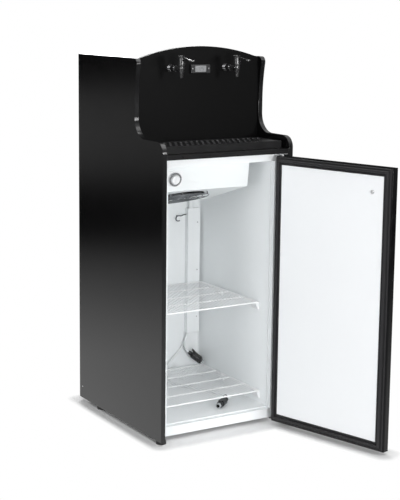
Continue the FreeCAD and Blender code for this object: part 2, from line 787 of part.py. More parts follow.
def thermostat():
    """Plate with its scale ring on the cover's leaning face, and the knob that turns on it."""
    lean = math.degrees(math.atan2(float(size("Cooler_lean")), float(room_top - cooler_low)))
    face = float(front + size("Cooler_front") + size("Cooler_lean")
                 * (room_top - dial_high) / (room_top - cooler_low))
    turn = Rotation(Vector(1, 0, 0), lean)
    spot = Vector(float(size("Dial_in") - room_side), face, float(dial_high))
    wide = float(size("Dial_wide"))
    tall = float(size("Dial_tall"))
    plate = Part.makeBox(wide, 3, tall, Vector(-wide / 2, -3, -tall / 2))
    plate = plate.makeFillet(6, [edge for edge in plate.Edges if abs(edge.tangentAt(0).y) > 0.9])
    ring_shape = Part.makeCylinder(float(size("Dial_radius")), 3, Vector(0, -3, 0), Vector(0, -1, 0))
    spindle = Part.makeCylinder(3, 12, Vector(0, -12, 0), Vector(0, 1, 0))
    plate = plate.fuse(ring_shape).fuse(spindle).fuse(
        Part.makeCylinder(5.5, 12, Vector(0, 0, 0), Vector(0, 1, 0)))
    base = formed("thermostat_plate", plate)
    base.Placement = Placement(spot, turn)
    piece("thermostat_plate", base)
    knob = Part.makeCylinder(float(size("Dial_knob")), 12, Vector(0, -6.3, 0), Vector(0, -1, 0))
    knob = knob.makeFillet(2.5, [edge for edge in knob.Edges if edge.CenterOfMass.y < -18])
    grip = Part.makeBox(5, 5, float(size("Dial_knob")) * 1.8, Vector(-2.5, -21.3, -float(size("Dial_knob")) * 0.9))
    knob = knob.fuse(grip).cut(Part.makeCylinder(3 + float(size("Pin_play")), 9, Vector(0, -14.3, 0),
                                                 Vector(0, 1, 0)))
    top = formed("thermostat_knob", knob)
    top.Placement = Placement(spot, turn)
    piece("thermostat_knob", top)


thermostat()


def trunking():
    """The line cover in the back right corner, with its screws, and the conduit above it."""
    wall = size("Trunk_wall")
    x = trunk_left
    deep = size("Trunk_deep")
    low = size("Trunk_low")
    tall = trunk_top - low
    block = box("trunk_block", x, room_back - deep, low, size("Trunk_wide"), deep, tall)
    hollow = box("trunk_hollow", x + wall, room_back - deep + wall, low - 1,
                 size("Trunk_wide") - wall * 2, deep - wall + 1, tall - wall + 1)
    mouth = rod("trunk_mouth", x + size("Trunk_wide") / 3, room_back - deep / 2, trunk_top - 10,
                size("Conduit_radius") - 3, 20)
    piece("line_trunking", cut("line_trunking", block, hollow, mouth))
    screws = []
    for number in range(3):
        z = low + size("Trunk_screw") + size("Trunk_screw_pitch") * number
        screws.append(rod("trunk_screw_%d" % number, x + size("Trunk_wide") - 13, room_back - deep - 2, z,
                          size("Screw_head"), 2, "y"))
    piece("trunking_screws", group("trunking_screws", *screws))
    pipe = rod("conduit_pipe", x + size("Trunk_wide") / 3, room_back - deep / 2, trunk_top,
               size("Conduit_radius"), room_top - trunk_top)
    bore = rod("conduit_bore", x + size("Trunk_wide") / 3, room_back - deep / 2, trunk_top - 1,
               size("Conduit_radius") - 3, room_top - trunk_top + 2)
    piece("line_conduit", cut("line_conduit", pipe, bore))


trunking()


def sensor_clip():
    """The thermostat's sensing tube: a short arm from the trunking that ends in an open hook."""
    x = float(trunk_left)
    y = float(room_back) - 8
    z = float(trunk_top) - 38
    points = [Vector(x, y, z + 10), Vector(x - 13, y, z + 10), Vector(x - 27, y, z + 5),
              Vector(x - 41, y, z + 8), Vector(x - 52, y, z + 2), Vector(x - 53, y, z - 11),
              Vector(x - 43, y, z - 17), Vector(x - 33, y, z - 15)]
    path, radii = route(points)
    stud = Part.makeCylinder(3, 8, Vector(x - 44, y, z + 6.5), Vector(0, 1, 0))
    return piece("sensor_clip", formed("sensor_clip", tube(path, 2.5).fuse(stud)))


sensor_clip()


def shelf(name, near, top):
    """A welded wire shelf: rod frame, cross bars below, fine wires from front to back."""
    rod_radius = float(size("Rod_radius"))
    wire = float(size("Wire_radius"))
    half = float(room_side - size("Shelf_gap")) - rod_radius
    deep = float(shelf_deep) - 2 * rod_radius
    y = float(front + near) + rod_radius
    z = float(top) - rod_radius
    loop = [Vector(-half, y, z), Vector(half, y, z), Vector(half, y + deep, z), Vector(-half, y + deep, z)]
    corner = 4.0
    start = (loop[3] + loop[0]) / 2
    path, radii = route([start] + loop + [start], [corner] * 4)
    profile = Part.Wire(Part.Circle(start, Vector(0, -1, 0), rod_radius).toShape())
    frame = Part.Wire(path.Edges).makePipeShell([profile], True, False)
    solids = []
    count = int(float(size("Wire_count")))
    for number in range(count):
        x = -half + 2 * half * (number + 1) / (count + 1)
        solids.append(Part.makeCylinder(wire, deep, Vector(x, y, float(top) - wire), Vector(0, 1, 0)))
    bar_radius = rod_radius - 0.5
    bars = int(float(size("Bar_count")))
    for number in range(bars):
        at = y + deep * (number + 1) / (bars + 1)
        solids.append(Part.makeCylinder(bar_radius, 2 * half, Vector(-half, at, float(top) - 2 * rod_radius
                                        + bar_radius), Vector(1, 0, 0)))
    return piece(name, formed(name, frame.multiFuse(solids)))


shelf("shelf_upper", size("Upper_front"), size("Upper_shelf"))
shelf("shelf_lower", size("Lower_front"), size("Lower_shelf"))


def shelf_brackets():
    """Moulded brackets on the side walls, two a side under each shelf."""
    tall = float(size("Bracket_tall"))
    deep = float(size("Bracket_deep"))
    rod_low = 2 * float(size("Rod_radius"))
    solids = []
    for near, top in ((size("Upper_front"), size("Upper_shelf")), (size("Lower_front"), size("Lower_shelf"))):
        high = float(top) - rod_low - float(fit)
        low = max(high - tall, float(room_floor))
        for share in (0.02, 0.62):
            y = float(front + near) + float(shelf_deep) * share
            for side in (-1, 1):
                x = side * float(room_side)
                foot = Part.Face(Part.makePolygon([
                    Vector(x, y, high), Vector(x - side * 16, y, high), Vector(x - side * 16, y, high - 4),
                    Vector(x - side * 4, y, low), Vector(x, y, low), Vector(x, y, high)]))
                solids.append(foot.extrude(Vector(0, deep, 0)))
    return piece("shelf_brackets", formed("shelf_brackets", Part.makeCompound(solids)))


shelf_brackets()


# The bag couplers and their hoses

def coupler(name, tip, ahead):
    """A bag coupler on its axis: clear nose, two collars, body, end cap and the barb for its hose."""
    radius = float(size("Coupler_radius"))
    long = float(size("Coupler_long"))
    barb = float(size("Barb_long"))
    axis = Vector(ahead).normalize()
    parts = [
        Part.makeCylinder(radius * 0.74, 9, tip, axis),
        Part.makeCylinder(radius * 0.86, 16, tip + axis * 8, axis),
        Part.makeCylinder(radius * 0.7, 6, tip + axis * 23, axis),
        Part.makeCylinder(radius, long - 36, tip + axis * 28, axis),
        Part.makeCone(radius, radius * 0.6, 9, tip + axis * (long - 9), axis),
        Part.makeCylinder(float(size("Hose_radius")) + 1, barb, tip + axis * long, axis),
    ]
    shape = parts[0].multiFuse(parts[1:])
    shape = shape.cut(Part.makeCylinder(radius * 0.5, 14, tip - axis, axis))
    piece(name, formed(name, shape))
    return tip + axis * (long + barb), axis


def hose(name, points):
    """A free product hose along chosen points, as straight runs and tangent arcs."""
    radius = float(size("Hose_radius"))
    path, radii = route([front_spot + Vector(*point) for point in points])
    shape = tube(path, radius)
    print("%s: length %.1f mm, least radius %.1f mm, volume ratio %.4f" % (
        name, path.Length, min(radii), shape.Volume / (math.pi * radius * radius * path.Length)))
    piece(name, formed(name, shape))


front_spot = Vector(0, front_y, 0)
shelf_tip = front_spot + Vector(float(room_side - size("Coupler_in")), float(size("Coupler_back")),
                                float(size("Lower_shelf") + size("Coupler_high")))
shelf_end, shelf_axis = coupler("coupler_shelf", shelf_tip, (-0.72, 0.3, 0.62))
floor_end, floor_axis = coupler("coupler_floor", front_spot + Vector(50, 138, 72.2), (0.856, 0.505, 0.108))
shelf_end -= front_spot
floor_end -= front_spot
hose("hose_short", [
    (189, 604.8, 303), (186.5, 604.7, 281), (179.5, 604.5, 261), (171, 603.4, 243.7), (164.6, 601.8, 228.2),
    (162.5, 600, 212.5), (165.7, 598, 197), shelf_end + shelf_axis * 14, shelf_end,
])
hose("hose_long", [
    (186, 616, 297), (184.5, 616, 271), (180.5, 615.8, 246), (171.5, 615.5, 222), (157, 614.8, 200),
    (138.5, 614, 181), (118, 613, 164), (99, 611.5, 148), (84, 609.5, 131), (73.5, 606.1, 113.2),
    (67.5, 601.1, 96.2), (65.5, 591.4, 83.5), (64.5, 578.7, 73.8), (64, 563.9, 67.7), (64, 548, 65.6),
    (68.5, 520, 65.6), (76, 491, 65.6), (87.5, 459, 65.6), (103, 428, 65.6), (120, 397, 65.6),
    (135, 364, 65.6), (147, 333, 65.6), (157, 303, 65.6), (164, 275, 65.6), (166, 250, 66),
    (164.5, 230, 69.5), (158, 212, 75), (146, 197, 80), floor_end + floor_axis * 18, floor_end,
])


# The door, drawn closed and swung open about its hinge

pivot_x = width / 2 - size("Pivot_in")
pivot_y = front + size("Pivot_back")
door_half = inner - size("Door_gap")


def swing(obj):
    """Stand a piece of the closed door at the angle where the door rests."""
    angle = size("Door_rest")
    cosine = Size(math.cos(math.radians(angle.value)), "cos(%s * 1deg)" % angle.words)
    sine = Size(math.sin(math.radians(angle.value)), "sin(%s * 1deg)" % angle.words)
    obj.Placement = Placement(Vector(), Rotation(Vector(0, 0, 1), angle.value))
    bind(obj, Placement__Rotation__Angle=angle)
    return place(obj, pivot_x - pivot_x * cosine + pivot_y * sine, pivot_y - pivot_x * sine - pivot_y * cosine)


def door():
    low = size("Door_low")
    thick = size("Door_thick")
    inset = size("Seal_inset")
    wide = size("Seal_wide")
    body = new_body("door_slab_form")
    corners = [(-door_half, front), (door_half, front), (door_half, front + thick), (-door_half, front + thick)]
    block = pad(body, outline(body, "XY_Plane", corners), door_top - low)
    middle = float(door_top - low) / 2
    spots = [Vector(float(x), float(y), middle) for x, y in corners]
    round_edges(body, block, size("Door_round"), spots)
    place(body, 0, 0, low)
    bush_radius = size("Pin_radius") + size("Pin_play") + size("Bush_wall")
    pockets = [
        rod("bush_seat_low", pivot_x, pivot_y, low - 1, bush_radius, size("Bush_long") + 1),
        rod("bush_seat_top", pivot_x, pivot_y, door_top - size("Bush_long"), bush_radius,
            size("Bush_long") + 1),
        rod("bolt_way", -door_half + size("Knob_in"), front - 1, knob_high, 3, thick + 2, "y"),
    ]
    piece("door_slab", swing(cut("door_slab", body, *pockets)))

    bushes = []
    for name, z in (("low", low), ("top", door_top - size("Bush_long"))):
        sleeve = rod("bush_%s_outer" % name, pivot_x, pivot_y, z, bush_radius, size("Bush_long"))
        bore = rod("bush_%s_bore" % name, pivot_x, pivot_y, z - 1, size("Pin_radius") + size("Pin_play"),
                   size("Bush_long") + 2)
        bushes.append(cut("bush_%s" % name, sleeve, bore))
    piece("hinge_bushes", swing(group("hinge_bushes", *bushes)))

    seal_low = low + inset
    seal_top = door_top - inset / 2
    seal_half = door_half - inset
    back = front + thick
    tall = size("Seal_thick")

    def seal_ring(name, inset_out, inset_in, near, far):
        """A frame of the seal between two distances from its outer edge and two from the slab."""
        outer_box = box(name + "_out", -seal_half + inset_out, back + near, seal_low + inset_out,
                        (seal_half - inset_out) * 2, far - near, seal_top - seal_low - inset_out * 2)
        inner_box = box(name + "_in", -seal_half + inset_in, back + near - 1, seal_low + inset_in,
                        (seal_half - inset_in) * 2, far - near + 2, seal_top - seal_low - inset_in * 2)
        return cut(name, outer_box, inner_box)

    lip_in = size("Lip_inset")
    lip_out = lip_in + size("Seal_lip")
    groove = size("Seal_groove")
    base = seal_ring("seal_frame", as_size(0), wide, as_size(0), tall)
    lip = seal_ring("seal_rim", lip_in, lip_out, tall, case_front - back - fit)
    outer_groove = seal_ring("seal_groove_outer", lip_in - groove, lip_in, groove, tall + 1)
    inner_groove = seal_ring("seal_groove_inner", lip_out, lip_out + groove, groove, tall + 1)
    piece("door_gasket", swing(cut("door_gasket", fuse("seal_body", base, lip), outer_groove, inner_groove)))

    panel = box("inner_panel_block", -seal_half + wide, back, seal_low + wide, (seal_half - wide) * 2,
                size("Panel_proud"), seal_top - seal_low - wide * 2)
    bolt_way = rod("panel_bolt_way", -door_half + size("Knob_in"), back - 1, knob_high, 3,
                   size("Panel_proud") + 2, "y")
    piece("door_inner_panel", swing(cut("door_inner_panel", panel, bolt_way)))

    knob_form = new_body("door_knob")
    radius = size("Knob_radius")
    long = size("Knob_long")
    profile = [
        (0, 0), (radius * 0.72, 0), (radius * 0.55, long * 0.35), (radius * 0.9, long * 0.62),
        (radius, long * 0.8), (radius * 0.86, long * 0.95), (radius * 0.5, long), (0, long),
    ]
    revolve(knob_form, outline(knob_form, "XZ_Plane", profile), "V_Axis")
    holder = doc.addObject("Part::Compound", "door_knob_closed")
    holder.Links = [knob_form]
    knob_form.Placement = Placement(Vector(), Rotation(Vector(1, 0, 0), 90))
    place(knob_form, -door_half + size("Knob_in"), front, knob_high)
    piece("door_knob", swing(cut("door_knob_bored", holder,
                                 rod("knob_bore", -door_half + size("Knob_in"), front - long * 0.6,
                                     knob_high, 3, long, "y"))))

    shank = rod("bolt_shank", -door_half + size("Knob_in"), front - long * 0.6, knob_high, 3,
                long * 0.6 + thick + size("Panel_proud"), "y")
    head = doc.addObject("Part::Sphere", "bolt_head")
    head.Placement = Placement(Vector(), AXES["y"])
    head.Angle1 = 0
    bind(head, Radius=size("Bolt_head"))
    place(head, -door_half + size("Knob_in"), back + size("Panel_proud"), knob_high)
    piece("knob_bolt", swing(fuse("knob_bolt", shank, head)))


door()


def hinge_plates():
    """Plates over and under the door, each with its pin."""
    plate = size("Plate")
    pin = size("Pin_radius")
    reach = size("Case_front") - 2
    x = pivot_x - 15
    top_plate = box("hinge_top_leaf", x, front + 2, deck_low - plate, 32, reach, plate)
    top_pin = rod("hinge_top_pin", pivot_x, pivot_y, door_top - size("Bush_long") + 2, pin,
                  deck_low - door_top + size("Bush_long") - 2 - plate / 2)
    piece("hinge_plate_top", fuse("hinge_plate_top", top_plate, top_pin))
    low = size("Door_low") - fit - plate
    low_plate = box("hinge_low_leaf", x, front + 2, low, 32, reach + 46, plate)
    riser = box("hinge_low_riser", x, case_front + 6, low, 32, 40, size("Case_low") - low)
    low_pin = rod("hinge_low_pin", pivot_x, pivot_y, low + plate / 2, pin,
                  plate / 2 + fit + size("Bush_long") - 2)
    piece("hinge_plate_bottom", fuse("hinge_plate_bottom", low_plate, riser, low_pin))


hinge_plates()


def supports():
    """Glides under the side panels and the refrigerator's own feet."""
    glides = []
    for side in (-1, 1):
        near = size("Glide_front") if side < 0 else size("Glide_hinge")
        for number, back in enumerate((near, size("Glide_back"))):
            glides.append(rod("glide_%d_%d" % (side, number), (width / 2 - size("Glide_radius")) * side,
                              front + back, 0, size("Glide_radius"), size("Panel_lift")))
    piece("glides", group("glides", *glides))
    feet = []
    for side in (-1, 1):
        for number, back in enumerate((size("Foot_front"), size("Foot_back"))):
            feet.append(rod("foot_%d_%d" % (side, number), (inner - size("Foot_radius") - 1) * side,
                            front + back, 0, size("Foot_radius"), size("Case_low")))
    piece("casing_feet", group("casing_feet", *feet))


supports()


# The drip tray and its grille

def drip_tray():
    """A channel with an end cap at each side, a ledge all round, and the grille that lies on it."""
    wide = (inner - size("Tray_side")) * 2
    deep = size("Tray_depth")
    tall = size("Tray_tall")
    wall = size("Tray_wall")
    ledge = size("Tray_ledge")
    y = front + size("Tray_front")
    seat = size("Grille_thick") + size("Grille_drop")
    block = box("tray_block", -wide / 2, y, deck_top + fit, wide, deep, tall - fit)
    top_recess = box("tray_recess", -wide / 2 + wall, y + wall, deck_top + tall - seat - fit,
                     wide - wall * 2, deep - wall * 2, seat + fit + 1)
    basin = box("tray_basin", -wide / 2 + wall + ledge, y + wall + ledge, deck_top + fit + wall,
                wide - (wall + ledge) * 2, deep - (wall + ledge) * 2, tall)
    whole = cut("tray_whole", block, top_recess, basin)
    end = wall + ledge
    zones = []
    caps = []
    for name, x in (("left", -wide / 2), ("right", wide / 2 - end)):
        zone = box("tray_end_zone_" + name, x, y, deck_top + fit, end, deep, tall - fit)
        cap = doc.addObject("Part::MultiCommon", "tray_cap_" + name)
        cap.Shapes = [whole, zone]
        zones.append(zone)
        caps.append(cap)
    piece("drip_tray", group("drip_tray", cut("tray_channel", whole, *zones), *caps))

    thick = size("Grille_thick")
    base_z = deck_top + tall - seat
    plate = box("grille_plate", -wide / 2 + wall + fit, y + wall + fit, base_z,
                wide - (wall + fit) * 2, deep - (wall + fit) * 2, thick)
    lean = math.radians(float(size("Slot_lean")))
    reach = float(size("Slot_reach"))
    pitch = float(size("Slot_pitch"))
    slot_wide = float(size("Slot_wide"))
    half = float(wide) / 2 - float(wall) - float(ledge)
    side_step = reach * math.tan(lean)
    middle_y = float(y + deep / 2)
    slots = []
    count = int((2 * half - side_step - slot_wide / math.cos(lean)) / pitch) + 1
    for number in range(count):
        x = pitch * (number - (count - 1) / 2)
        slot = Part.makeBox(slot_wide, reach / math.cos(lean), 8,
                            Vector(-slot_wide / 2, -reach / math.cos(lean) / 2, 0))
        slot = slot.makeFillet(slot_wide * 0.45, [e for e in slot.Edges if abs(e.tangentAt(0).z) > 0.9])
        slot.rotate(Vector(), Vector(0, 0, 1), -math.degrees(lean))
        slot.translate(Vector(x, middle_y, float(base_z) - 2))
        slots.append(slot)
    tools = formed("grille_slots", Part.makeCompound(slots))
    piece("drip_grille", cut("drip_grille", plate, tools))


drip_tray()


# The taps

def lever(side_name, x, y, z):
    """The looped lever: boss and cross pin, and an arm that thins and falls to its loop."""
    wide = size("Lever_wide")
    half = size("Lever_thick") / 2
    boss = size("Boss_radius")
    bonnet = size("Bonnet_radius")
    run = size("Lever_reach") - size("Loop_radius")
    dip = size("Lever_dip")
    drop = dip * bonnet / run
    arm = new_body("lever_arm_" + side_name)
    side_view = [
        (0, boss * 0.8), (-bonnet, half - drop), (-run, half - dip), (-run, -half - dip),
        (-bonnet, -half - drop), (0, boss * -0.8),
    ]
    pad(arm, outline(arm, "YZ_Plane", side_view), wide)
    place(arm, x - wide / 2, y, z)
    solid = fuse(
        "lever_solid_" + side_name,
        rod("lever_boss_" + side_name, x - wide / 2, y, z, boss, wide, "x"),
        rod("lever_pin_" + side_name, x - bonnet + 1, y, z, 2, bonnet * 2 - 2, "x"),
        arm,
        rod("lever_loop_" + side_name, x, y - run, z - dip - half, size("Loop_radius"), size("Lever_thick")),
    )
    hole = rod("lever_hole_" + side_name, x, y - run, z - dip - half * 3, size("Loop_hole"), half * 6)
    return piece("tap_lever_" + side_name, cut("tap_lever_" + side_name, solid, hole))


def tap(side_name, side):
    x = tap_x(side)
    z = tap_high
    face = front + size("Tap_face")
    spout_y = face - size("Tap_reach")
    shank = size("Shank_radius")
    reach_out = size("Flange_thick") + size("Collar_off") + size("Collar_long") + 4

    parts = [
        rod("shank_rod_" + side_name, x, face - reach_out, z, shank - 2, reach_out, "y"),
        rod("shank_thread_" + side_name, x, face, z, shank, board + 26, "y"),
        rod("shank_flange_" + side_name, x, face - size("Flange_thick"), z, size("Flange_radius"),
            size("Flange_thick"), "y"),
        rod("shank_collar_" + side_name, x, face - reach_out + 4, z, size("Collar_radius"),
            size("Collar_long"), "y"),
    ]
    nut = doc.addObject("Part::Prism", "shank_nut_" + side_name)
    nut.Polygon = 6
    nut.Placement = Placement(Vector(), AXES["y"])
    bind(nut, Circumradius=shank + 7, Height=8)
    place(nut, x, face + board, z)
    parts.append(nut)
    solid = fuse("shank_solid_" + side_name, *parts)
    bore = rod("shank_bore_" + side_name, x, face - 60, z, 4, 140, "y")
    piece("tap_shank_" + side_name, cut("tap_shank_" + side_name, solid, bore))

    cup = size("Cup_radius")
    bonnet = size("Bonnet_radius")
    drop = size("Spout_drop")
    top = size("Bonnet_top")
    mouth = size("Spout_mouth")
    form = new_body("tap_form_" + side_name)
    profile = [
        (0, -drop), (mouth, -drop), (cup * 0.84, -4), (cup, 0), (cup, 9), (cup - 1.5, 10.5),
        (bonnet - 1, 12), (bonnet, 15), (bonnet, top - 10), (bonnet - 1, top - 1.5), (bonnet - 2.5, top), (0, top),
    ]
    revolve(form, outline(form, "XZ_Plane", profile), "V_Axis")
    place(form, x, spout_y, z)
    neck = rod("tap_neck_" + side_name, x, spout_y, z, shank - 1,
               size("Tap_reach") - reach_out, "y")
    solid = fuse("tap_solid_" + side_name, form, neck)
    stem = size("Stem_radius")
    slot_wide = size("Lever_wide") + fit * 2
    tools = [
        rod("spout_bore_" + side_name, x, spout_y, z - drop - 1, size("Spout_bore"), drop + 1 - 8),
        rod("tap_chamber_" + side_name, x, spout_y, z - 9, cup - 3, 19),
        rod("stem_bore_" + side_name, x, spout_y, z, stem + size("Pin_play"), top),
        rod("tap_inlet_" + side_name, x, spout_y, z, 4, size("Tap_reach"), "y"),
        box("lever_slot_" + side_name, x - slot_wide / 2, spout_y - bonnet - 1, z + size("Lever_high") - size("Lever_slot"),
            slot_wide, bonnet * 2 + 2, size("Bonnet_top")),
        rod("pin_bore_" + side_name, x - bonnet - 1, spout_y, z + size("Lever_high"), 2 + size("Pin_play"),
            bonnet * 2 + 2, "x"),
    ]
    piece("tap_body_" + side_name, cut("tap_body_" + side_name, solid, *tools))

    lever(side_name, x, spout_y, z + size("Lever_high"))

    seat = fuse(
        "tap_plunger_" + side_name,
        rod("stem_rod_" + side_name, x, spout_y, z - 8, stem, size("Lever_high") - size("Seat_travel") + 1),
        rod("stem_seat_" + side_name, x, spout_y, z - 9 + fit, cup - 4, 5),
    )
    piece("tap_plunger_" + side_name, seat)


for tap_name, tap_side in (("left", -1), ("right", 1)):
    tap(tap_name, tap_side)


def thermometer():
    x = size("Gauge_shift")
    z = tap_high - size("Gauge_drop")
    wide = size("Gauge_wide")
    tall = size("Gauge_tall")
    deep = size("Gauge_deep")
    face = front + size("Tap_face")
    block = box("gauge_block", x - wide / 2, face - deep, z - tall / 2, wide, deep, tall)
    rounded = doc.addObject("Part::Fillet", "gauge_round")
    rounded.Base = block
    doc.recompute()
    ends = [number for number, edge in enumerate(block.Shape.Edges, start=1)
            if abs(edge.tangentAt(edge.FirstParameter).y) > 0.9]
    rounded.Edges = [(number, 4.0, 4.0) for number in ends]
    lens_wide = size("Lens_wide")
    lens_tall = size("Lens_tall")
    window = box("gauge_window", x - lens_wide / 2, face - deep - 1, z - lens_tall / 2, lens_wide, 3, lens_tall)
    piece("thermometer_housing", cut("thermometer_housing", rounded, window))
    piece("thermometer_lens", box("thermometer_lens", x - lens_wide / 2, face - deep + 0.6, z - lens_tall / 2,
                                  lens_wide, 1.4, lens_tall))
    screws = []
    for side in (-1, 1):
        screws.append(rod("gauge_screw_%d" % side, x + size("Screw_pitch") / 2 * side, face - deep - 2, z,
                          size("Screw_head"), 2, "y"))
    piece("thermometer_screws", group("thermometer_screws", *screws))


thermometer()


# The machine compartment behind the tap board

def compressor():
    """A welded can on a sprung base, with its terminal box."""
    x = float(size("Compressor_in") - inner)
    y = float(front + size("Compressor_back"))
    z = float(deck_top)
    feet = [Part.makeCylinder(9, 14, Vector(x + dx, y + dy, z)) for dx in (-62, 62) for dy in (-52, 52)]
    base = Part.makeBox(150, 126, 3, Vector(x - 75, y - 63, z + 13))
    radius = float(size("Can_radius"))
    seat = float(size("Can_seat"))
    tall = float(size("Can_tall"))
    can = Part.makeCylinder(radius, tall, Vector(x, y, z + seat))
    seam = Part.makeCylinder(radius + 4, 6, Vector(x, y, z + seat + tall / 2))
    lower = Part.makeSphere(radius, Vector(x, y, z + seat)).common(
        Part.makeBox(radius * 4, radius * 4, seat - 14, Vector(x - radius * 2, y - radius * 2, z + 14)))
    dome_radius = radius + 16
    dome_low = math.sqrt(dome_radius ** 2 - radius ** 2)
    dome = Part.makeSphere(dome_radius, Vector(x, y, z + seat + tall - dome_low)).common(
        Part.makeCylinder(radius, dome_radius, Vector(x, y, z + seat + tall)))
    terminal = Part.makeBox(44, 30, 46, Vector(x + radius - 10, y - 15, z + seat + 22))
    shape = base.multiFuse(feet + [can, seam, lower, dome, terminal])
    piece("compressor", formed("compressor", shape))


def condenser():
    """Finned coil with hairpin tubes, and the fan that draws air through it."""
    x = float(size("Condenser_side"))
    wide = float(size("Condenser_wide"))
    y = float(front + size("Condenser_back"))
    z = float(deck_top)
    tall = float(size("Condenser_tall"))
    fins = [Part.makeBox(1.0, 40, tall, Vector(x + wide * n / 17.0, y, z + 8)) for n in range(18)]
    frame = [Part.makeBox(wide + 1, 40, 8, Vector(x, y, z)), Part.makeBox(wide + 1, 40, 3, Vector(x, y, z + tall + 8))]
    tubes = [Part.makeCylinder(4.5, wide + 24, Vector(x - 12, y + 20, z + 26 + 33 * n), Vector(1, 0, 0))
             for n in range(6)]
    piece("condenser", formed("condenser", frame[0].multiFuse(fins + [frame[1]] + tubes)))

    middle = Vector(x + wide / 2, y - 34, z + tall / 2 + 8)
    shroud = Part.makeBox(wide + 1, 3, tall + 3, Vector(x, y - 3, z + 8))
    shroud = shroud.cut(Part.makeCylinder(88, 10, middle + Vector(0, 28, 0), Vector(0, 1, 0)))
    can = Part.makeCylinder(26, 36, middle + Vector(0, -36, 0), Vector(0, 1, 0))
    shaft = Part.makeCylinder(4, 22, middle, Vector(0, 1, 0))
    arms = []
    for side in (-1, 1):
        start = middle + Vector(side * 98, -10, -6)
        arms.append(Part.makeBox(100, 3, 12, Vector(middle.x if side > 0 else middle.x - 100, middle.y - 20,
                                                   middle.z - 6)))
        arms.append(Part.makeBox(3, 54, 12, Vector(start.x, middle.y - 20, middle.z - 6)))
    piece("condenser_fan_motor", formed("condenser_fan_motor", shroud.multiFuse([can, shaft] + arms)))

    hub = Part.makeCylinder(17, 14, Vector(0, 0, 0))
    rim = Part.makeCylinder(82, 40, Vector(0, 0, -12))
    blades = [hub]
    for number in range(5):
        blade = Part.makeBox(80, 40, 2, Vector(12, -20, -1))
        blade.rotate(Vector(), Vector(1, 0, 0), 22)
        blade.translate(Vector(0, 0, 7))
        blade.rotate(Vector(), Vector(0, 0, 1), 72 * number)
        blades.append(blade.common(rim))
    fan = blades[0].multiFuse(blades[1:]).cut(
        Part.makeCylinder(4 + float(size("Pin_play")), 40, Vector(0, 0, -10)))
    node = formed("condenser_fan", fan)
    node.Placement = Placement(middle + Vector(0, 5, 0), AXES["y"])
    piece("condenser_fan", node)


def pump(name, x):
    """A diaphragm pump: head with two ports, motor behind it, on rubber feet."""
    y = front_y + float(size("Pump_back")) - 24
    z = float(deck_top)
    feet = [Part.makeCylinder(7, 8, Vector(x + dx, y + dy, z)) for dx in (-24, 24) for dy in (20, 88)]
    base = Part.makeBox(64, 110, 3, Vector(x - 32, y, z + 8))
    head_wide = float(size("Pump_head_wide"))
    head_tall = float(size("Pump_head_tall"))
    head = Part.makeBox(head_wide, 44, head_tall, Vector(x - head_wide / 2, y + 4, z + 11))
    head = head.makeFillet(6, [e for e in head.Edges if abs(e.tangentAt(0).z) > 0.9])
    motor = Part.makeCylinder(float(size("Pump_motor")), float(size("Pump_motor_long")),
                              Vector(x, y + 48, z + 38), Vector(0, 1, 0))
    outlet = Part.makeCylinder(7, 12, Vector(x, y + 24, z + 10 + head_tall))
    inlet = Part.makeCylinder(7, 12, Vector(x + 26, y + 26, z + 30), Vector(1, 0, 0))
    piece(name, formed(name, base.multiFuse(feet + [head, motor, outlet, inlet])))
    return Vector(x, y + 24, z + 22 + head_tall), Vector(x + 38, y + 26, z + 30)


def lines():
    """Lines from the conduit to the pumps, and from the pumps up to the taps' shanks."""
    radius = float(size("Line_radius"))
    outlets = {}
    inlets = {}
    for name, side in (("pump_left", -1), ("pump_right", 1)):
        outlets[side], inlets[side] = pump(name, float(tap_x(side)))
    shank_end = float(front + size("Tap_face") + board) + 26
    rising = []
    for side in (-1, 1):
        start = outlets[side]
        height = float(tap_high)
        points = [start, Vector(start.x, start.y, height), Vector(start.x, shank_end, height)]
        path, radii = route(points, [34])
        rising.append(tube(path, radius))
    piece("beverage_lines", formed("beverage_lines", Part.makeCompound(rising)))
    x = float(trunk_left + size("Trunk_wide") / 3)
    y = float(room_back - size("Trunk_deep") / 2)
    z = float(deck_top)
    feeding = []
    for side, offset, high in ((1, 8, 30), (-1, -8, 104)):
        end = inlets[side]
        points = [
            Vector(x + offset, y, z),
            Vector(x + offset, y, z + high),
            Vector(x + offset, end.y + 40, z + high),
            Vector(end.x + 40, end.y + 12, z + (high if side > 0 else 60)),
            Vector(end.x + 20, end.y, z + 30),
            end,
        ]
        if side > 0:
            points = [points[0], points[1], Vector(x + offset, end.y, z + high), end]
        path, radii = route(points)
        feeding.append(tube(path, radius))
    piece("suction_lines", formed("suction_lines", Part.makeCompound(feeding)))


compressor()
condenser()
lines()


def power_inlet():
    """The socket for the mains lead, low on the rear cover."""
    x = float(inner - size("Inlet_in"))
    z = float(deck_top + size("Inlet_high"))
    y = float(case_back + size("Cover_sheet"))
    flange = Part.makeBox(50, 3, 28, Vector(x - 25, y, z - 14))
    flange = flange.makeFillet(5, [e for e in flange.Edges if abs(e.tangentAt(0).y) > 0.9])
    body = Part.makeBox(32, 9, 24, Vector(x - 16, y, z - 12))
    well = Part.makeBox(26, 12, 18, Vector(x - 13, y + 1, z - 9))
    pins = [Part.makeBox(2, 7, 6, Vector(x + dx - 1, y + 1, z - 3 + dz)) for dx, dz in ((-7, -1), (0, 2), (7, -1))]
    shape = flange.fuse(body).cut(well)
    piece("power_inlet", formed("power_inlet", shape.multiFuse(pins)))


power_inlet()

doc.recompute()


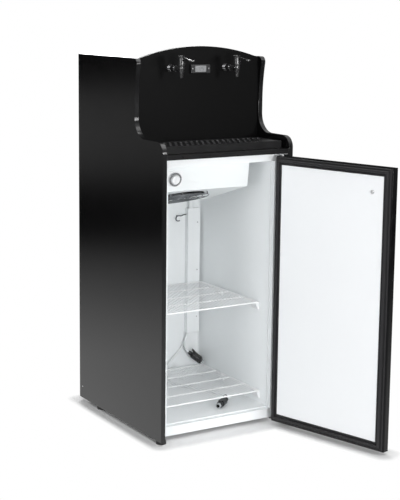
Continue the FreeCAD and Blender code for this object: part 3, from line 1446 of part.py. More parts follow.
def check_and_export():
    """Stop on any object that failed, then write one file a piece."""
    for obj in doc.Objects:
        faults = [state for state in obj.State if state in ("Invalid", "Error")]
        if faults:
            raise RuntimeError("%s did not build: %s" % (obj.Label, faults))
    os.makedirs("parts", exist_ok=True)
    for name, obj in PIECES.items():
        shape = obj.Shape
        if shape.isNull() or not shape.isValid() or shape.Volume <= 0 or not shape.Solids:
            raise RuntimeError("%s has no valid solid" % name)
        shape.exportStep("parts/%s.step" % name)
        print("%-22s %2d solids %9.1f cm3" % (name, len(shape.Solids), shape.Volume / 1000))
    print("%d pieces" % len(PIECES))


check_and_export()
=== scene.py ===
"""Looks of a two-tap refrigerated wine dispenser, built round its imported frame. Lengths are in metres.

The frame stands on the floor at z = 0, with its taps and door towards -Y. MM turns a millimetre
of the design into a metre. Pieces of the door are made as if it were shut and then swung open.
"""
import json
import math

import bmesh
import bpy
from mathutils import Matrix, Vector


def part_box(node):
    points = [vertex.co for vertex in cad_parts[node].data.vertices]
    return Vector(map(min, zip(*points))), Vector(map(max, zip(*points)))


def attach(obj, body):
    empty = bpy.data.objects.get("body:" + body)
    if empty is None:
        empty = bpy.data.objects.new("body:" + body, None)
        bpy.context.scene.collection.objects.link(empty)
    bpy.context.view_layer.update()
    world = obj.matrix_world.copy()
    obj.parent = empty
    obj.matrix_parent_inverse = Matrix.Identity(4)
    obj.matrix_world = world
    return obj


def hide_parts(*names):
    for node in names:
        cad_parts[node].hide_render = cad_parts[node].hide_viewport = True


MM = 0.001
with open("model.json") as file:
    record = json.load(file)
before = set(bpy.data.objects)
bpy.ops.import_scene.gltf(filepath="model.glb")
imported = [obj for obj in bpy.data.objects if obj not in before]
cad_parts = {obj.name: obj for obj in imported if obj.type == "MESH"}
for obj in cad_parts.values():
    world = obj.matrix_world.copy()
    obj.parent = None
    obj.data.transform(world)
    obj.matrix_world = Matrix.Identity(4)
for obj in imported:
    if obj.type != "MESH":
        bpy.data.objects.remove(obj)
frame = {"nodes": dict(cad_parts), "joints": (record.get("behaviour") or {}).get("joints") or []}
nodes = frame["nodes"]
joints = {joint["name"]: joint for joint in frame["joints"]}
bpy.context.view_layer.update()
cabinet_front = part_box("side_panel_left")[0].y
scene = bpy.context.scene


# Camera, from the photograph's perspective

PHOTO_WIDTH = 400
PHOTO_HEIGHT = 500
PRINCIPAL_X = 191.1
PRINCIPAL_Y = 216.0
FOCAL = 1261.2
CAMERA_SPOT = (-2.7028, -4.4966, 1.7112)
CAMERA_YAW = 0.54833
CAMERA_PITCH = 0.16261
CAMERA_ROLL = 0.00997
SENSOR = 36.0


def camera():
    """A camera that stands where the photograph was taken from."""
    ahead = Vector((math.sin(CAMERA_YAW) * math.cos(CAMERA_PITCH),
                    math.cos(CAMERA_YAW) * math.cos(CAMERA_PITCH), -math.sin(CAMERA_PITCH)))
    right = Vector((math.cos(CAMERA_YAW), -math.sin(CAMERA_YAW), 0))
    up = right.cross(ahead)
    right_rolled = right * math.cos(CAMERA_ROLL) + up * math.sin(CAMERA_ROLL)
    up_rolled = up * math.cos(CAMERA_ROLL) - right * math.sin(CAMERA_ROLL)
    data = bpy.data.cameras.new("camera")
    data.sensor_width = SENSOR
    data.lens = FOCAL * SENSOR / PHOTO_HEIGHT
    data.shift_x = (PHOTO_WIDTH / 2 - PRINCIPAL_X) / PHOTO_HEIGHT
    data.shift_y = (PRINCIPAL_Y - PHOTO_HEIGHT / 2) / PHOTO_HEIGHT
    data.clip_end = 60
    eye = bpy.data.objects.new("camera", data)
    turn = Matrix((right_rolled, up_rolled, -ahead)).transposed().to_4x4()
    eye.matrix_world = Matrix.Translation(CAMERA_SPOT) @ turn
    scene.collection.objects.link(eye)
    scene.camera = eye


def from_design(point):
    """The place of a design point: x, distance behind the cabinet's front and height, in millimetres."""
    x, setback, z = point
    return x * MM, cabinet_front + setback * MM, z * MM


# Materials

# Noise below NOISE_LOW counts as 0 and over NOISE_HIGH as 1. A face has all of its band colour where less
# than BAND_FULL of its direction is along the axis, and none where more than BAND_NONE is.
NOISE_LOW = 0.3
NOISE_HIGH = 0.7
BAND_FULL = 0.35
BAND_NONE = 0.75
COAT_ROUGH = 0.12
LEAST_ROUGH = 0.02


def principled(name):
    """A new node material, its nodes and links, and its Principled shader."""
    made = bpy.data.materials.new(name)
    made.use_nodes = True
    tree = made.node_tree
    return made, tree.nodes, tree.links, tree.nodes["Principled BSDF"]


def grain(tree_nodes, links, scale, detail=4.0, stretch=(1, 1, 1)):
    """Noise that stays on the surface, stretched along the object's axes."""
    place = tree_nodes.new("ShaderNodeTexCoord")
    mapping = tree_nodes.new("ShaderNodeMapping")
    mapping.inputs["Scale"].default_value = stretch
    noise = tree_nodes.new("ShaderNodeTexNoise")
    noise.inputs["Scale"].default_value = scale
    noise.inputs["Detail"].default_value = detail
    links.new(place.outputs["Object"], mapping.inputs["Vector"])
    links.new(mapping.outputs["Vector"], noise.inputs["Vector"])
    return noise


def spread(tree_nodes, links, source, low, high):
    """Noise turned into a number between low and high."""
    ranged = tree_nodes.new("ShaderNodeMapRange")
    ranged.inputs["From Min"].default_value = NOISE_LOW
    ranged.inputs["From Max"].default_value = NOISE_HIGH
    ranged.inputs["To Min"].default_value = low
    ranged.inputs["To Max"].default_value = high
    links.new(source.outputs["Fac"], ranged.inputs["Value"])
    return ranged


def banded(parts, links, base, axis, colour):
    """A second colour on the faces that look away from an axis, such as a board's edges."""
    place = parts.new("ShaderNodeTexCoord")
    split = parts.new("ShaderNodeSeparateXYZ")
    links.new(place.outputs["Normal"], split.inputs["Vector"])
    size = parts.new("ShaderNodeMath")
    size.operation = "ABSOLUTE"
    links.new(split.outputs[axis], size.inputs[0])
    share = parts.new("ShaderNodeMapRange")
    share.inputs["From Min"].default_value = BAND_NONE
    share.inputs["From Max"].default_value = BAND_FULL
    links.new(size.outputs["Value"], share.inputs["Value"])
    mix = parts.new("ShaderNodeMix")
    mix.data_type = "RGBA"
    links.new(share.outputs["Result"], mix.inputs["Factor"])
    links.new(base, mix.inputs["A"])
    mix.inputs["B"].default_value = (*colour, 1)
    return mix.outputs["Result"]


def finish(name, colour, rough, metal=0.0, coat=0.0, blotch=0.06, blotch_scale=3.0, rough_spread=0.06,
           bump=0.0, bump_scale=900.0, bump_depth=0.0002, stretch=(1, 1, 1), specular=0.5, sheen=0.0,
           band=None):
    """A surface with slow colour variation, uneven gloss and fine relief.

    band is (axis, colour): faces that look away from that axis have the colour instead.
    """
    made, parts, links, shader = principled(name)
    slow = grain(parts, links, blotch_scale, 5.0)
    tone = parts.new("ShaderNodeMix")
    tone.data_type = "RGBA"
    lighter = [min(1.0, channel * (1 + blotch) + blotch * 0.01) for channel in colour]
    darker = [channel * (1 - blotch) for channel in colour]
    tone.inputs["A"].default_value = (*darker, 1)
    tone.inputs["B"].default_value = (*lighter, 1)
    links.new(spread(parts, links, slow, 0.0, 1.0).outputs["Result"], tone.inputs["Factor"])
    base = tone.outputs["Result"]
    if band:
        base = banded(parts, links, base, *band)
    links.new(base, shader.inputs["Base Color"])
    uneven = grain(parts, links, blotch_scale * 6, 6.0, stretch)
    gloss = spread(parts, links, uneven, max(LEAST_ROUGH, rough - rough_spread),
                   min(1.0, rough + rough_spread))
    links.new(gloss.outputs["Result"], shader.inputs["Roughness"])
    shader.inputs["Metallic"].default_value = metal
    shader.inputs["Coat Weight"].default_value = coat
    shader.inputs["Coat Roughness"].default_value = COAT_ROUGH
    shader.inputs["Specular IOR Level"].default_value = specular
    shader.inputs["Sheen Weight"].default_value = sheen
    if bump:
        fine = grain(parts, links, bump_scale, 3.0, stretch)
        relief = parts.new("ShaderNodeBump")
        relief.inputs["Strength"].default_value = bump
        relief.inputs["Distance"].default_value = bump_depth
        links.new(fine.outputs["Fac"], relief.inputs["Height"])
        links.new(relief.outputs["Normal"], shader.inputs["Normal"])
    return made


# The edges of the boards are lighter than their faces: partly a greyer edge band, partly painted light that
# the edges catch.
EDGE_BAND_AND_PAINTED_LIGHT = (0.0095, 0.0095, 0.01)
LAMINATE = finish("laminate_black", (0.003, 0.0029, 0.0031), 0.15, blotch=0.08, rough_spread=0.01,
                  bump=0.08, bump_scale=500, specular=0.5, band=("X", EDGE_BAND_AND_PAINTED_LIGHT))
# The tap board and the top panel are the same black laminate as the sides; this darker, less glossy copy of
# it is painted shade.
BOARD_SHADED_LAMINATE = finish("laminate_board_painted_shade", (0.0018, 0.0018, 0.0019), 0.45, blotch=0.08, rough_spread=0.02,
               bump=0.12, bump_scale=500, specular=0.1)
DECK = finish("laminate_deck", (0.004, 0.004, 0.0042), 0.3, blotch=0.1, bump=0.12, bump_scale=500,
              specular=0.2, band=("Z", EDGE_BAND_AND_PAINTED_LIGHT))
MOULDED = finish("moulded_black", (0.012, 0.012, 0.0125), 0.22, coat=0.3, blotch=0.08, bump=0.08)
TAP = finish("tap_black", (0.02, 0.02, 0.0205), 0.28, coat=0.5, blotch=0.1, bump=0.06)
TRAY = finish("tray_black", (0.006, 0.006, 0.0065), 0.35, blotch=0.1, bump=0.12, bump_scale=600,
              specular=0.3)
# The pale colour on the grille's slot walls is a painted highlight where light catches them.
GRILLE_PAINTED_HIGHLIGHT = finish("grille_black", (0.006, 0.006, 0.0065), 0.35, blotch=0.1, bump=0.12, bump_scale=600,
                specular=0.25, band=("Z", (0.2, 0.2, 0.205)))
CHROME = finish("polished_plate", (0.62, 0.62, 0.63), 0.08, metal=1.0, blotch=0.03, rough_spread=0.04)
ZINC = finish("zinc_plate", (0.6, 0.6, 0.61), 0.3, metal=1.0, blotch=0.1, blotch_scale=20)
CASE = finish("coated_sheet", (0.42, 0.43, 0.44), 0.4, blotch=0.05, bump=0.1, bump_scale=500)
FOAM = finish("rigid_foam", (0.7, 0.62, 0.42), 0.9, blotch=0.12, bump=0.6, bump_scale=300)
LINER = finish("moulded_liner", (0.905, 0.93, 0.94), 0.35, blotch=0.006, rough_spread=0.03, bump=0.03,
               bump_scale=60)
# The evaporator housing is made darker than the liner as painted shade, against the strong front light it
# catches.
HOUSING_SHADED = finish("moulded_housing_painted_shade", (0.81, 0.84, 0.845), 0.35, blotch=0.006, rough_spread=0.03)
DOOR_SKIN = finish("door_sheet", (0.004, 0.004, 0.0043), 0.2, blotch=0.1, bump=0.1, bump_scale=700,
                   specular=0.2)
INNER_SHEET = finish("inner_sheet", (0.875, 0.89, 0.905), 0.35, blotch=0.004, rough_spread=0.02)
SEAL = finish("seal_profile", (0.017, 0.0165, 0.018), 0.5, blotch=0.08, bump=0.1, bump_scale=500,
              specular=0.3, sheen=0.05)
WIRE = finish("coated_wire", (0.96, 0.965, 0.97), 0.35, coat=0.1, blotch=0.02, bump=0.05)
GUARD = finish("guard_wire", (0.16, 0.17, 0.18), 0.35, metal=0.3, blotch=0.06)
FAN = finish("fan_plastic", (0.045, 0.047, 0.05), 0.45, blotch=0.08)
DIAL = finish("dial_plastic", (0.84, 0.85, 0.86), 0.35, blotch=0.01, bump=0.03)
HOSE = finish("hose_milky", (0.8, 0.825, 0.83), 0.32, coat=0.2, blotch=0.05, blotch_scale=30)
CLEAR = finish("coupler_clear", (0.42, 0.44, 0.45), 0.2, coat=0.3, blotch=0.05, blotch_scale=40)
NYLON = finish("natural_nylon", (0.66, 0.64, 0.58), 0.45, blotch=0.05)
RUBBER = finish("foot_rubber", (0.006, 0.006, 0.006), 0.75, blotch=0.15, bump=0.3, bump_scale=400)
GAUGE = finish("gauge_black", (0.009, 0.009, 0.01), 0.35, blotch=0.08, bump=0.15, bump_scale=900)
LENS = finish("lens_grey", (0.24, 0.245, 0.25), 0.3, coat=0.2, blotch=0.08, blotch_scale=60)
PAN = finish("pan_steel", (0.42, 0.42, 0.425), 0.4, metal=0.2, blotch=0.06, rough_spread=0.08)
PRINT = finish("dial_print", (0.12, 0.125, 0.13), 0.5, blotch=0.08)
DIGIT = finish("display_digit", (0.06, 0.065, 0.07), 0.3, blotch=0.05)
# Painted shade for the cross recesses of the screw heads.
RECESS_SHADE = finish("painted_recess_shade", (0.03, 0.034, 0.038), 0.5, blotch=0.05)
ENAMEL = finish("black_enamel", (0.012, 0.012, 0.013), 0.35, coat=0.4, blotch=0.15)
COPPER = finish("coil_metal", (0.5, 0.46, 0.43), 0.35, metal=1.0, blotch=0.15, blotch_scale=15)
PUMP = finish("pump_plastic", (0.05, 0.05, 0.052), 0.4, blotch=0.1, bump=0.2, bump_scale=500)

NODE_FINISH = {
    "side_panel_left": LAMINATE, "side_panel_right": LAMINATE, "tap_board": BOARD_SHADED_LAMINATE, "top_panel": BOARD_SHADED_LAMINATE,
    "deck_board": DECK, "rear_cover": CASE, "fridge_casing": CASE, "fridge_insulation": FOAM,
    "fridge_liner": LINER, "evaporator_housing": HOUSING_SHADED, "evaporator_coil": COPPER, "fan_guard": GUARD,
    "fan_blades": FAN, "fan_motor": FAN, "thermostat_plate": DIAL, "thermostat_knob": DIAL,
    "line_trunking": LINER, "line_conduit": LINER, "sensor_clip": GUARD, "shelf_upper": WIRE,
    "shelf_lower": WIRE, "shelf_brackets": DIAL, "coupler_shelf": MOULDED, "coupler_floor": MOULDED,
    "door_slab": DOOR_SKIN, "hinge_bushes": NYLON, "door_gasket": SEAL, "door_inner_panel": INNER_SHEET,
    "door_knob": MOULDED, "knob_bolt": ZINC, "hinge_plate_top": ZINC, "hinge_plate_bottom": ZINC,
    "glides": RUBBER, "casing_feet": RUBBER, "drip_tray": TRAY, "drip_grille": GRILLE_PAINTED_HIGHLIGHT,
    "tap_shank_left": CHROME, "tap_shank_right": CHROME, "tap_body_left": TAP, "tap_body_right": TAP,
    "tap_lever_left": TAP, "tap_lever_right": TAP, "tap_plunger_left": RUBBER,
    "tap_plunger_right": RUBBER, "thermometer_housing": GAUGE, "thermometer_lens": LENS,
    "thermometer_screws": ZINC, "trunking_screws": ZINC, "compressor": ENAMEL, "condenser": COPPER,
    "condenser_fan_motor": CASE, "condenser_fan": FAN, "pump_left": PUMP, "pump_right": PUMP,
    "beverage_lines": HOSE, "suction_lines": HOSE, "power_inlet": TRAY, "hose_short": HOSE,
    "hose_long": HOSE,
}


WELD_REACH = 0.01 * MM
SHARP_ANGLE = 35

# Widths of the softened edges, in millimetres
NODE_ROUNDING = {
    "side_panel_left": 0.9, "side_panel_right": 0.9, "tap_board": 0.9, "deck_board": 0.9,
    "top_panel": 0.8, "drip_tray": 0.8, "drip_grille": 0.5, "evaporator_housing": 0.8,
    "line_trunking": 1.0, "thermometer_housing": 0.8, "door_slab": 0.8, "hinge_plate_top": 0.4,
    "hinge_plate_bottom": 0.4, "tap_lever_left": 0.5, "tap_lever_right": 0.5,
}


def dress_nodes():
    """Give every solid its finish, and soften the sharp edges of the boards and sheet."""
    for name, solid in nodes.items():
        solid.data.materials.clear()
        solid.data.materials.append(NODE_FINISH[name])
    for name, width in NODE_ROUNDING.items():
        soften(nodes[name], width * MM)


def soften(solid, width):
    """Round the sharp edges of a shape a little."""
    weld = solid.modifiers.new("weld", "WELD")
    weld.merge_threshold = WELD_REACH
    bevel = solid.modifiers.new("bevel", "BEVEL")
    bevel.width = width
    bevel.segments = 2
    bevel.limit_method = "ANGLE"
    bevel.angle_limit = math.radians(SHARP_ANGLE)
    even = solid.modifiers.new("even", "WEIGHTED_NORMAL")
    even.keep_sharp = True


# Mesh helpers

def piece(name, verts, faces, surface, body, smooth=35.0):
    """A mesh piece that rides on a body, smooth where its faces meet at less than an angle."""
    data = bpy.data.meshes.new(name)
    data.from_pydata([tuple(v) for v in verts], [], faces)
    data.validate()
    mesh = bmesh.new()
    mesh.from_mesh(data)
    bmesh.ops.recalc_face_normals(mesh, faces=mesh.faces)
    limit = math.radians(smooth)
    for edge in mesh.edges:
        edge.smooth = len(edge.link_faces) == 2 and edge.calc_face_angle(0.0) < limit
    for face in mesh.faces:
        face.smooth = True
    mesh.to_mesh(data)
    mesh.free()
    data.materials.append(surface)
    made = bpy.data.objects.new(name, data)
    scene.collection.objects.link(made)
    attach(made, body)
    return made


def turned(profile, place, sides=48):
    """Verts and faces of an outline of (radius, height) turned about the Z axis of a placement."""
    verts = []
    faces = []
    rings = []
    for radius, height in profile:
        if radius < 1e-9:
            rings.append([len(verts)])
            verts.append(place @ Vector((0, 0, height)))
            continue
        ring = []
        for step in range(sides):
            angle = 2 * math.pi * step / sides
            ring.append(len(verts))
            verts.append(place @ Vector((radius * math.cos(angle), radius * math.sin(angle), height)))
        rings.append(ring)
    for lower, upper in zip(rings, rings[1:]):
        for step in range(sides):
            following = (step + 1) % sides
            if len(lower) == 1 and len(upper) > 1:
                faces.append((lower[0], upper[following], upper[step]))
            elif len(upper) == 1 and len(lower) > 1:
                faces.append((lower[step], lower[following], upper[0]))
            elif len(lower) > 1:
                faces.append((lower[step], lower[following], upper[following], upper[step]))
    return verts, faces


def joined(*parts):
    """Several lists of verts and faces as one."""
    verts = []
    faces = []
    for some_verts, some_faces in parts:
        start = len(verts)
        verts += list(some_verts)
        faces += [tuple(start + number for number in face) for face in some_faces]
    return verts, faces


def slab(verts, faces, place, centre, along_x, along_y, thick):
    """Add a thin block, given its centre, its two half sides and its thickness."""
    start = len(verts)
    for level in (0, thick):
        for sign_x, sign_y in ((-1, -1), (1, -1), (1, 1), (-1, 1)):
            verts.append(place @ (centre + along_x * sign_x + along_y * sign_y + Vector((0, 0, level))))
    for face in ((0, 3, 2, 1), (4, 5, 6, 7), (0, 1, 5, 4), (1, 2, 6, 5), (2, 3, 7, 6), (3, 0, 4, 7)):
        faces.append(tuple(start + corner for corner in face))


def along(spot, axis):
    """A placement at a spot whose Z axis looks along a direction."""
    turn = Vector(axis).to_track_quat("Z", "Y").to_matrix().to_4x4()
    return Matrix.Translation(Vector(spot)) @ turn


# The door, made shut and swung open

hinge = joints["door_hinge"]
hinge_spot = Vector(hinge["pos_m"])
door_swing = (Matrix.Translation(hinge_spot) @ Matrix.Rotation(math.radians(-hinge["range_deg"][0]), 4, "Z")
              @ Matrix.Translation(-hinge_spot))


def shut_box(node):
    """Corners of a door solid with the door shut."""
    back = door_swing.inverted()
    spots = [back @ vertex.co for vertex in nodes[node].data.vertices]
    low = Vector([min(spot[axis] for spot in spots) for axis in range(3)])
    high = Vector([max(spot[axis] for spot in spots) for axis in range(3)])
    return low, high


# Across the seal from its outer edge: the distance in millimetres and the share of its full height
SEAL_PROFILE = [
    (0.0, 0.0), (0.0, 0.3), (0.8, 0.42), (2.6, 0.46), (4.6, 0.4), (5.6, 0.27), (7.6, 0.26), (8.6, 0.4),
    (9.3, 0.86), (10.2, 0.97), (11.6, 1.0), (17.4, 1.0), (18.8, 0.97), (19.7, 0.86), (20.3, 0.46),
    (21.2, 0.3), (23.0, 0.28), (24.0, 0.4), (25.2, 0.52), (27.4, 0.57), (29.6, 0.5), (30.8, 0.3),
    (31.0, 0.0),
]


def door_gasket():
    """The magnetic seal: an outer rib, the raised magnet chamber, a groove and an inner flap, mitred."""
    low, high = shut_box("door_gasket")
    tall = high.y - low.y
    verts = []
    for inset, height in SEAL_PROFILE:
        offset = inset * MM
        y = low.y + tall * height
        for x, z in ((low.x + offset, low.z + offset), (high.x - offset, low.z + offset),
                     (high.x - offset, high.z - offset), (low.x + offset, high.z - offset)):
            verts.append(door_swing @ Vector((x, y, z)))
    faces = []
    count = len(SEAL_PROFILE)
    for number in range(count):
        for corner in range(4):
            other = (corner + 1) % 4
            following = (number + 1) % count
            faces.append((number * 4 + corner, number * 4 + other, following * 4 + other,
                          following * 4 + corner))
    seal = piece("door_seal_profile", verts, faces, SEAL, "door", 30)
    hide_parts("door_gasket")


# Screws

# A screw's head and its cross, as shares of the head's radius
HEAD_PROFILE = [(1, 0), (1, 0.35), (0.82, 0.6), (0.45, 0.72), (0, 0.74)]
CROSS_TOP = 0.755
CROSS_DEEP = 0.2
CROSS_LONG = 0.5
CROSS_WIDE = 0.09


def screw(spot, axis, radius):
    """Verts and faces of a pan head."""
    return turned([(radius * out, radius * up) for out, up in HEAD_PROFILE], along(spot, axis), 24)


def screw_recess_shade(spot, axis, radius):
    """Painted shade of the cross recess on a screw's head: two thin dark bars that stand a hair proud."""
    place = along(spot, axis)
    verts = []
    faces = []
    top = radius * CROSS_TOP
    corners = ((-CROSS_LONG, -CROSS_WIDE), (CROSS_LONG, -CROSS_WIDE), (CROSS_LONG, CROSS_WIDE),
               (-CROSS_LONG, CROSS_WIDE))
    for turn in (0, math.pi / 2):
        start = len(verts)
        for along_x, along_y in corners:
            x = radius * (along_x * math.cos(turn) - along_y * math.sin(turn))
            y = radius * (along_x * math.sin(turn) + along_y * math.cos(turn))
            for z in (top - radius * CROSS_DEEP, top):
                verts.append(place @ Vector((x, y, z)))
        a = [start + 2 * n for n in range(4)]
        b = [number + 1 for number in a]
        faces.append(tuple(reversed(a)))
        faces.append(tuple(b))
        for n in range(4):
            m = (n + 1) % 4
            faces.append((a[n], a[m], b[m], b[n]))
    return verts, faces


def screw_set(name, spots, axis, radius, body, replaced=None):
    """A set of like screws, with their recesses."""
    heads = piece(name, *joined(*[screw(spot, axis, radius) for spot in spots]), ZINC, body, 50)
    piece(name + "_painted_cross_shade", *joined(*[screw_recess_shade(spot, axis, radius) for spot in spots]), RECESS_SHADE, body)
    if replaced:
        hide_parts(replaced)


def islands(node):
    """Boxes of a node's separate solids."""
    mesh = bmesh.new()
    mesh.from_mesh(nodes[node].data)
    bmesh.ops.remove_doubles(mesh, verts=mesh.verts, dist=WELD_REACH)
    left = set(mesh.verts)
    found = []
    while left:
        front = [left.pop()]
        group = list(front)
        while front:
            for edge in front.pop().link_edges:
                for vertex in edge.verts:
                    if vertex in left:
                        left.remove(vertex)
                        front.append(vertex)
                        group.append(vertex)
        low = Vector([min(vertex.co[axis] for vertex in group) for axis in range(3)])
        high = Vector([max(vertex.co[axis] for vertex in group) for axis in range(3)])
        found.append((low, high))
    mesh.free()
    return sorted(found, key=lambda box: tuple(box[0]))


def small_screws():
    """The screws of the thermometer and the trunking, where their solids are."""
    for node in ("thermometer_screws", "trunking_screws"):
        boxes = islands(node)
        spots = [Vector(((low.x + high.x) / 2, high.y, (low.z + high.z) / 2)) for low, high in boxes]
        low, high = boxes[-1]
        screw_set(node + "_heads", spots, (0, -1, 0), (high.z - low.z) / 2, "cabinet", node)


COVER_INSET = 10 * MM
COVER_SCREW = 4 * MM
CAP_INSET = 26 * MM
CAP_HIGH = 64 * MM
CAP_PROFILE = [(3 * MM, 0), (2.8 * MM, 0.5 * MM), (1.6 * MM, 0.9 * MM), (0, 1 * MM)]


def cover_screws():
    """The screws round the rear cover's edge."""
    low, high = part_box("rear_cover")
    middle = (low.z + high.z) / 2
    spots = []
    for x in (low.x + COVER_INSET, 0, high.x - COVER_INSET):
        for z in (low.z + COVER_INSET, middle, high.z - COVER_INSET):
            if x or z != middle:
                spots.append(Vector((x, high.y, z)))
    screw_set("rear_cover_screws", spots, (0, 1, 0), COVER_SCREW, "cabinet")


def panel_cap():
    """The small pale cap near the foot of the left panel."""
    low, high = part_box("side_panel_left")
    place = along((low.x, high.y - CAP_INSET, CAP_HIGH), (-1, 0, 0))
    cap = piece("panel_cap", *turned(CAP_PROFILE, place, 24), DIAL, "cabinet", 60)


# Dial and display

DIAL_INNER = 20.6 * MM
DIAL_OUTER = 27.5 * MM
DIAL_THICK = 0.3 * MM
DIAL_GAP = 0.05 * MM
DIAL_TICKS = 24
TICK_EDGE = 1 * MM
LONG_TICK = 4.6 * MM
SHORT_TICK = 2.8 * MM
TICK_HALF_WIDE = 0.5 * MM
TICK_THICK = 0.12 * MM


def dial_scale():
    """The printed ring round the thermostat knob, with plain pale ticks."""
    turn = joints["dial_turn"]
    centre = Vector(turn["pos_m"])
    axis = Vector(turn["axis"]).normalized()
    if axis.y > 0:
        axis = -axis
    proud = max((vertex.co - centre).dot(axis) for vertex in nodes["thermostat_plate"].data.vertices)
    place = along(centre + axis * (proud + DIAL_GAP), axis)
    profile = [(DIAL_INNER, 0), (DIAL_INNER, DIAL_THICK), (DIAL_OUTER, DIAL_THICK), (DIAL_OUTER, 0)]
    ring = piece("dial_ring", *turned(profile, place, 96), PRINT, "cabinet", 20)
    verts = []
    faces = []
    for number in range(DIAL_TICKS):
        angle = 2 * math.pi * (number + 0.5) / DIAL_TICKS
        ahead = Vector((math.cos(angle), math.sin(angle), 0))
        side = Vector((-ahead.y, ahead.x, 0))
        long = LONG_TICK if number % 4 == 0 else SHORT_TICK
        spot = ahead * (DIAL_OUTER - TICK_EDGE - long / 2) + Vector((0, 0, DIAL_THICK))
        slab(verts, faces, place, spot, ahead * long / 2, side * TICK_HALF_WIDE, TICK_THICK)
    marks = piece("dial_ticks", verts, faces, DIAL, "cabinet", 20)


# Strokes of each digit: a is the top one, then clockwise round to f, and g is the middle one
SEGMENTS = {"1": "bc", "2": "abdeg", "5": "acdfg"}
DISPLAY = "125"
DIGIT_HALF_TALL = 0.26
DIGIT_WIDE = 0.9
DIGIT_STEP = 1.75
STROKE_HALF_WIDE = 0.09
STROKE_LONG = 0.94
STROKE_THICK = 0.1 * MM


def display():
    """Three plain digits on the thermometer's lens, made of segments.

    tall is half a digit's height, a share of the lens; the other shares are of that.
    """
    low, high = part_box("thermometer_lens")
    tall = (high.z - low.z) * DIGIT_HALF_TALL
    wide = tall * DIGIT_WIDE
    place = along(((low.x + high.x) / 2, low.y, (low.z + high.z) / 2), (0, -1, 0))
    upward = place.to_3x3().inverted() @ Vector((0, 0, 1))
    across = place.to_3x3().inverted() @ Vector((1, 0, 0))
    verts = []
    faces = []
    half = tall * STROKE_HALF_WIDE
    for number, digit in enumerate(DISPLAY):
        middle = across * (number - 1) * wide * DIGIT_STEP
        strokes = {
            "a": (upward * tall, across * wide / 2, upward * half),
            "g": (upward * 0, across * wide / 2, upward * half),
            "d": (upward * -tall, across * wide / 2, upward * half),
            "b": (upward * tall / 2 + across * wide / 2, upward * tall / 2, across * half),
            "c": (upward * -tall / 2 + across * wide / 2, upward * tall / 2, across * half),
            "f": (upward * tall / 2 - across * wide / 2, upward * tall / 2, across * half),
            "e": (upward * -tall / 2 - across * wide / 2, upward * tall / 2, across * half),
        }
        for stroke in SEGMENTS[digit]:
            spot, first, second = strokes[stroke]
            slab(verts, faces, place, middle + spot, first * STROKE_LONG, second, STROKE_THICK)
    digits = piece("display_digits", verts, faces, DIGIT, "cabinet", 20)


# The pan in the drip tray

TRAY_INSET = 7.8 * MM
TRAY_FLOOR = 2.8 * MM
PAN_RIM = 6.2 * MM
PAN_WALL = 0.8 * MM


def tray_pan():
    """A pressed steel pan that lines the drip tray and shows through the grille's slots."""
    low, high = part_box("drip_tray")
    inset = Vector((TRAY_INSET, TRAY_INSET, 0))
    outer_low = low + inset + Vector((0, 0, TRAY_FLOOR))
    outer_high = high - inset - Vector((0, 0, PAN_RIM))
    wall = Vector((PAN_WALL, PAN_WALL, 0))
    levels = (
        (outer_low, outer_high, outer_high.z),
        (outer_low, outer_high, outer_low.z),
        (outer_low + wall, outer_high - wall, outer_low.z + PAN_WALL),
        (outer_low + wall, outer_high - wall, outer_high.z),
    )
    verts = []
    for first, last, z in levels:
        verts += [(first.x, first.y, z), (last.x, first.y, z), (last.x, last.y, z), (first.x, last.y, z)]
    faces = [(4, 5, 6, 7), (8, 9, 10, 11)]
    for lower, upper in ((0, 1), (2, 3), (3, 0)):
        for corner in range(4):
            other = (corner + 1) % 4
            faces.append((lower * 4 + corner, lower * 4 + other, upper * 4 + other, upper * 4 + corner))
    pan = piece("drip_pan", verts, faces, PAN, "tray", 20)


# Bag couplers

# Directions from a coupler's tip to its hose
SHELF_COUPLER_AXIS = (-0.72, 0.3, 0.62)
FLOOR_COUPLER_AXIS = (0.856, 0.505, 0.108)

# Lengths in millimetres. Profiles are (radius, distance from the tip or from the sleeve's start), and the
# latch is (distance from the tip, height over the axis).
COUPLER_REACH = 75.6
NOSE_PROFILE = [(7.4, -0.6), (10.6, -0.6), (11.8, 0.4), (11.9, 3.4), (11.5, 3.9), (11.5, 8.2), (7.4, 8.2)]
COLLAR_STARTS = (10, 17)
COLLAR_LONG = 5.2
COLLAR_RIBS = 28
RIB_RADIUS = 14.0
VALLEY_RADIUS = 13.2
SLEEVE_START = 8
SLEEVE_PROFILE = [
    (5.2, 0), (9.4, 0), (9.8, 1), (9.8, 4), (8.6, 5), (8.9, 6.5), (8.1, 8), (8.4, 9.5), (7.5, 11),
    (7.7, 12.5), (6.6, 14.4), (5.3, 14.8),
]
LATCH_PROFILE = [
    (14, 14.4), (15, 17.6), (20, 19.4), (40, 18.8), (58, 20.6), (72, 23.4), (75, 22.8), (75.6, 20),
    (74, 15), (64, 12), (44, 14),
]
LATCH_HALF_WIDE = 6.5
LATCH_TOP_HALF_WIDE = 5.0
LATCH_TOP = 18


def in_metres(profile):
    """A profile in millimetres as one in metres."""
    return [(first * MM, second * MM) for first, second in profile]


def collar(place):
    """Verts and faces of the two ribbed rings behind a coupler's nose."""
    verts = []
    faces = []
    count = COLLAR_RIBS * 2
    for beginning in COLLAR_STARTS:
        start = len(verts)
        low = beginning * MM
        for height in (low, low + COLLAR_LONG * MM):
            for step in range(count):
                angle = math.pi * step / COLLAR_RIBS
                radius = (RIB_RADIUS if step % 2 else VALLEY_RADIUS) * MM
                verts.append(place @ Vector((radius * math.cos(angle), radius * math.sin(angle), height)))
        for step in range(count):
            other = (step + 1) % count
            faces.append((start + step, start + other, start + count + other, start + count + step))
        faces.append(tuple(start + step for step in reversed(range(count))))
        faces.append(tuple(start + count + step for step in range(count)))
    return verts, faces


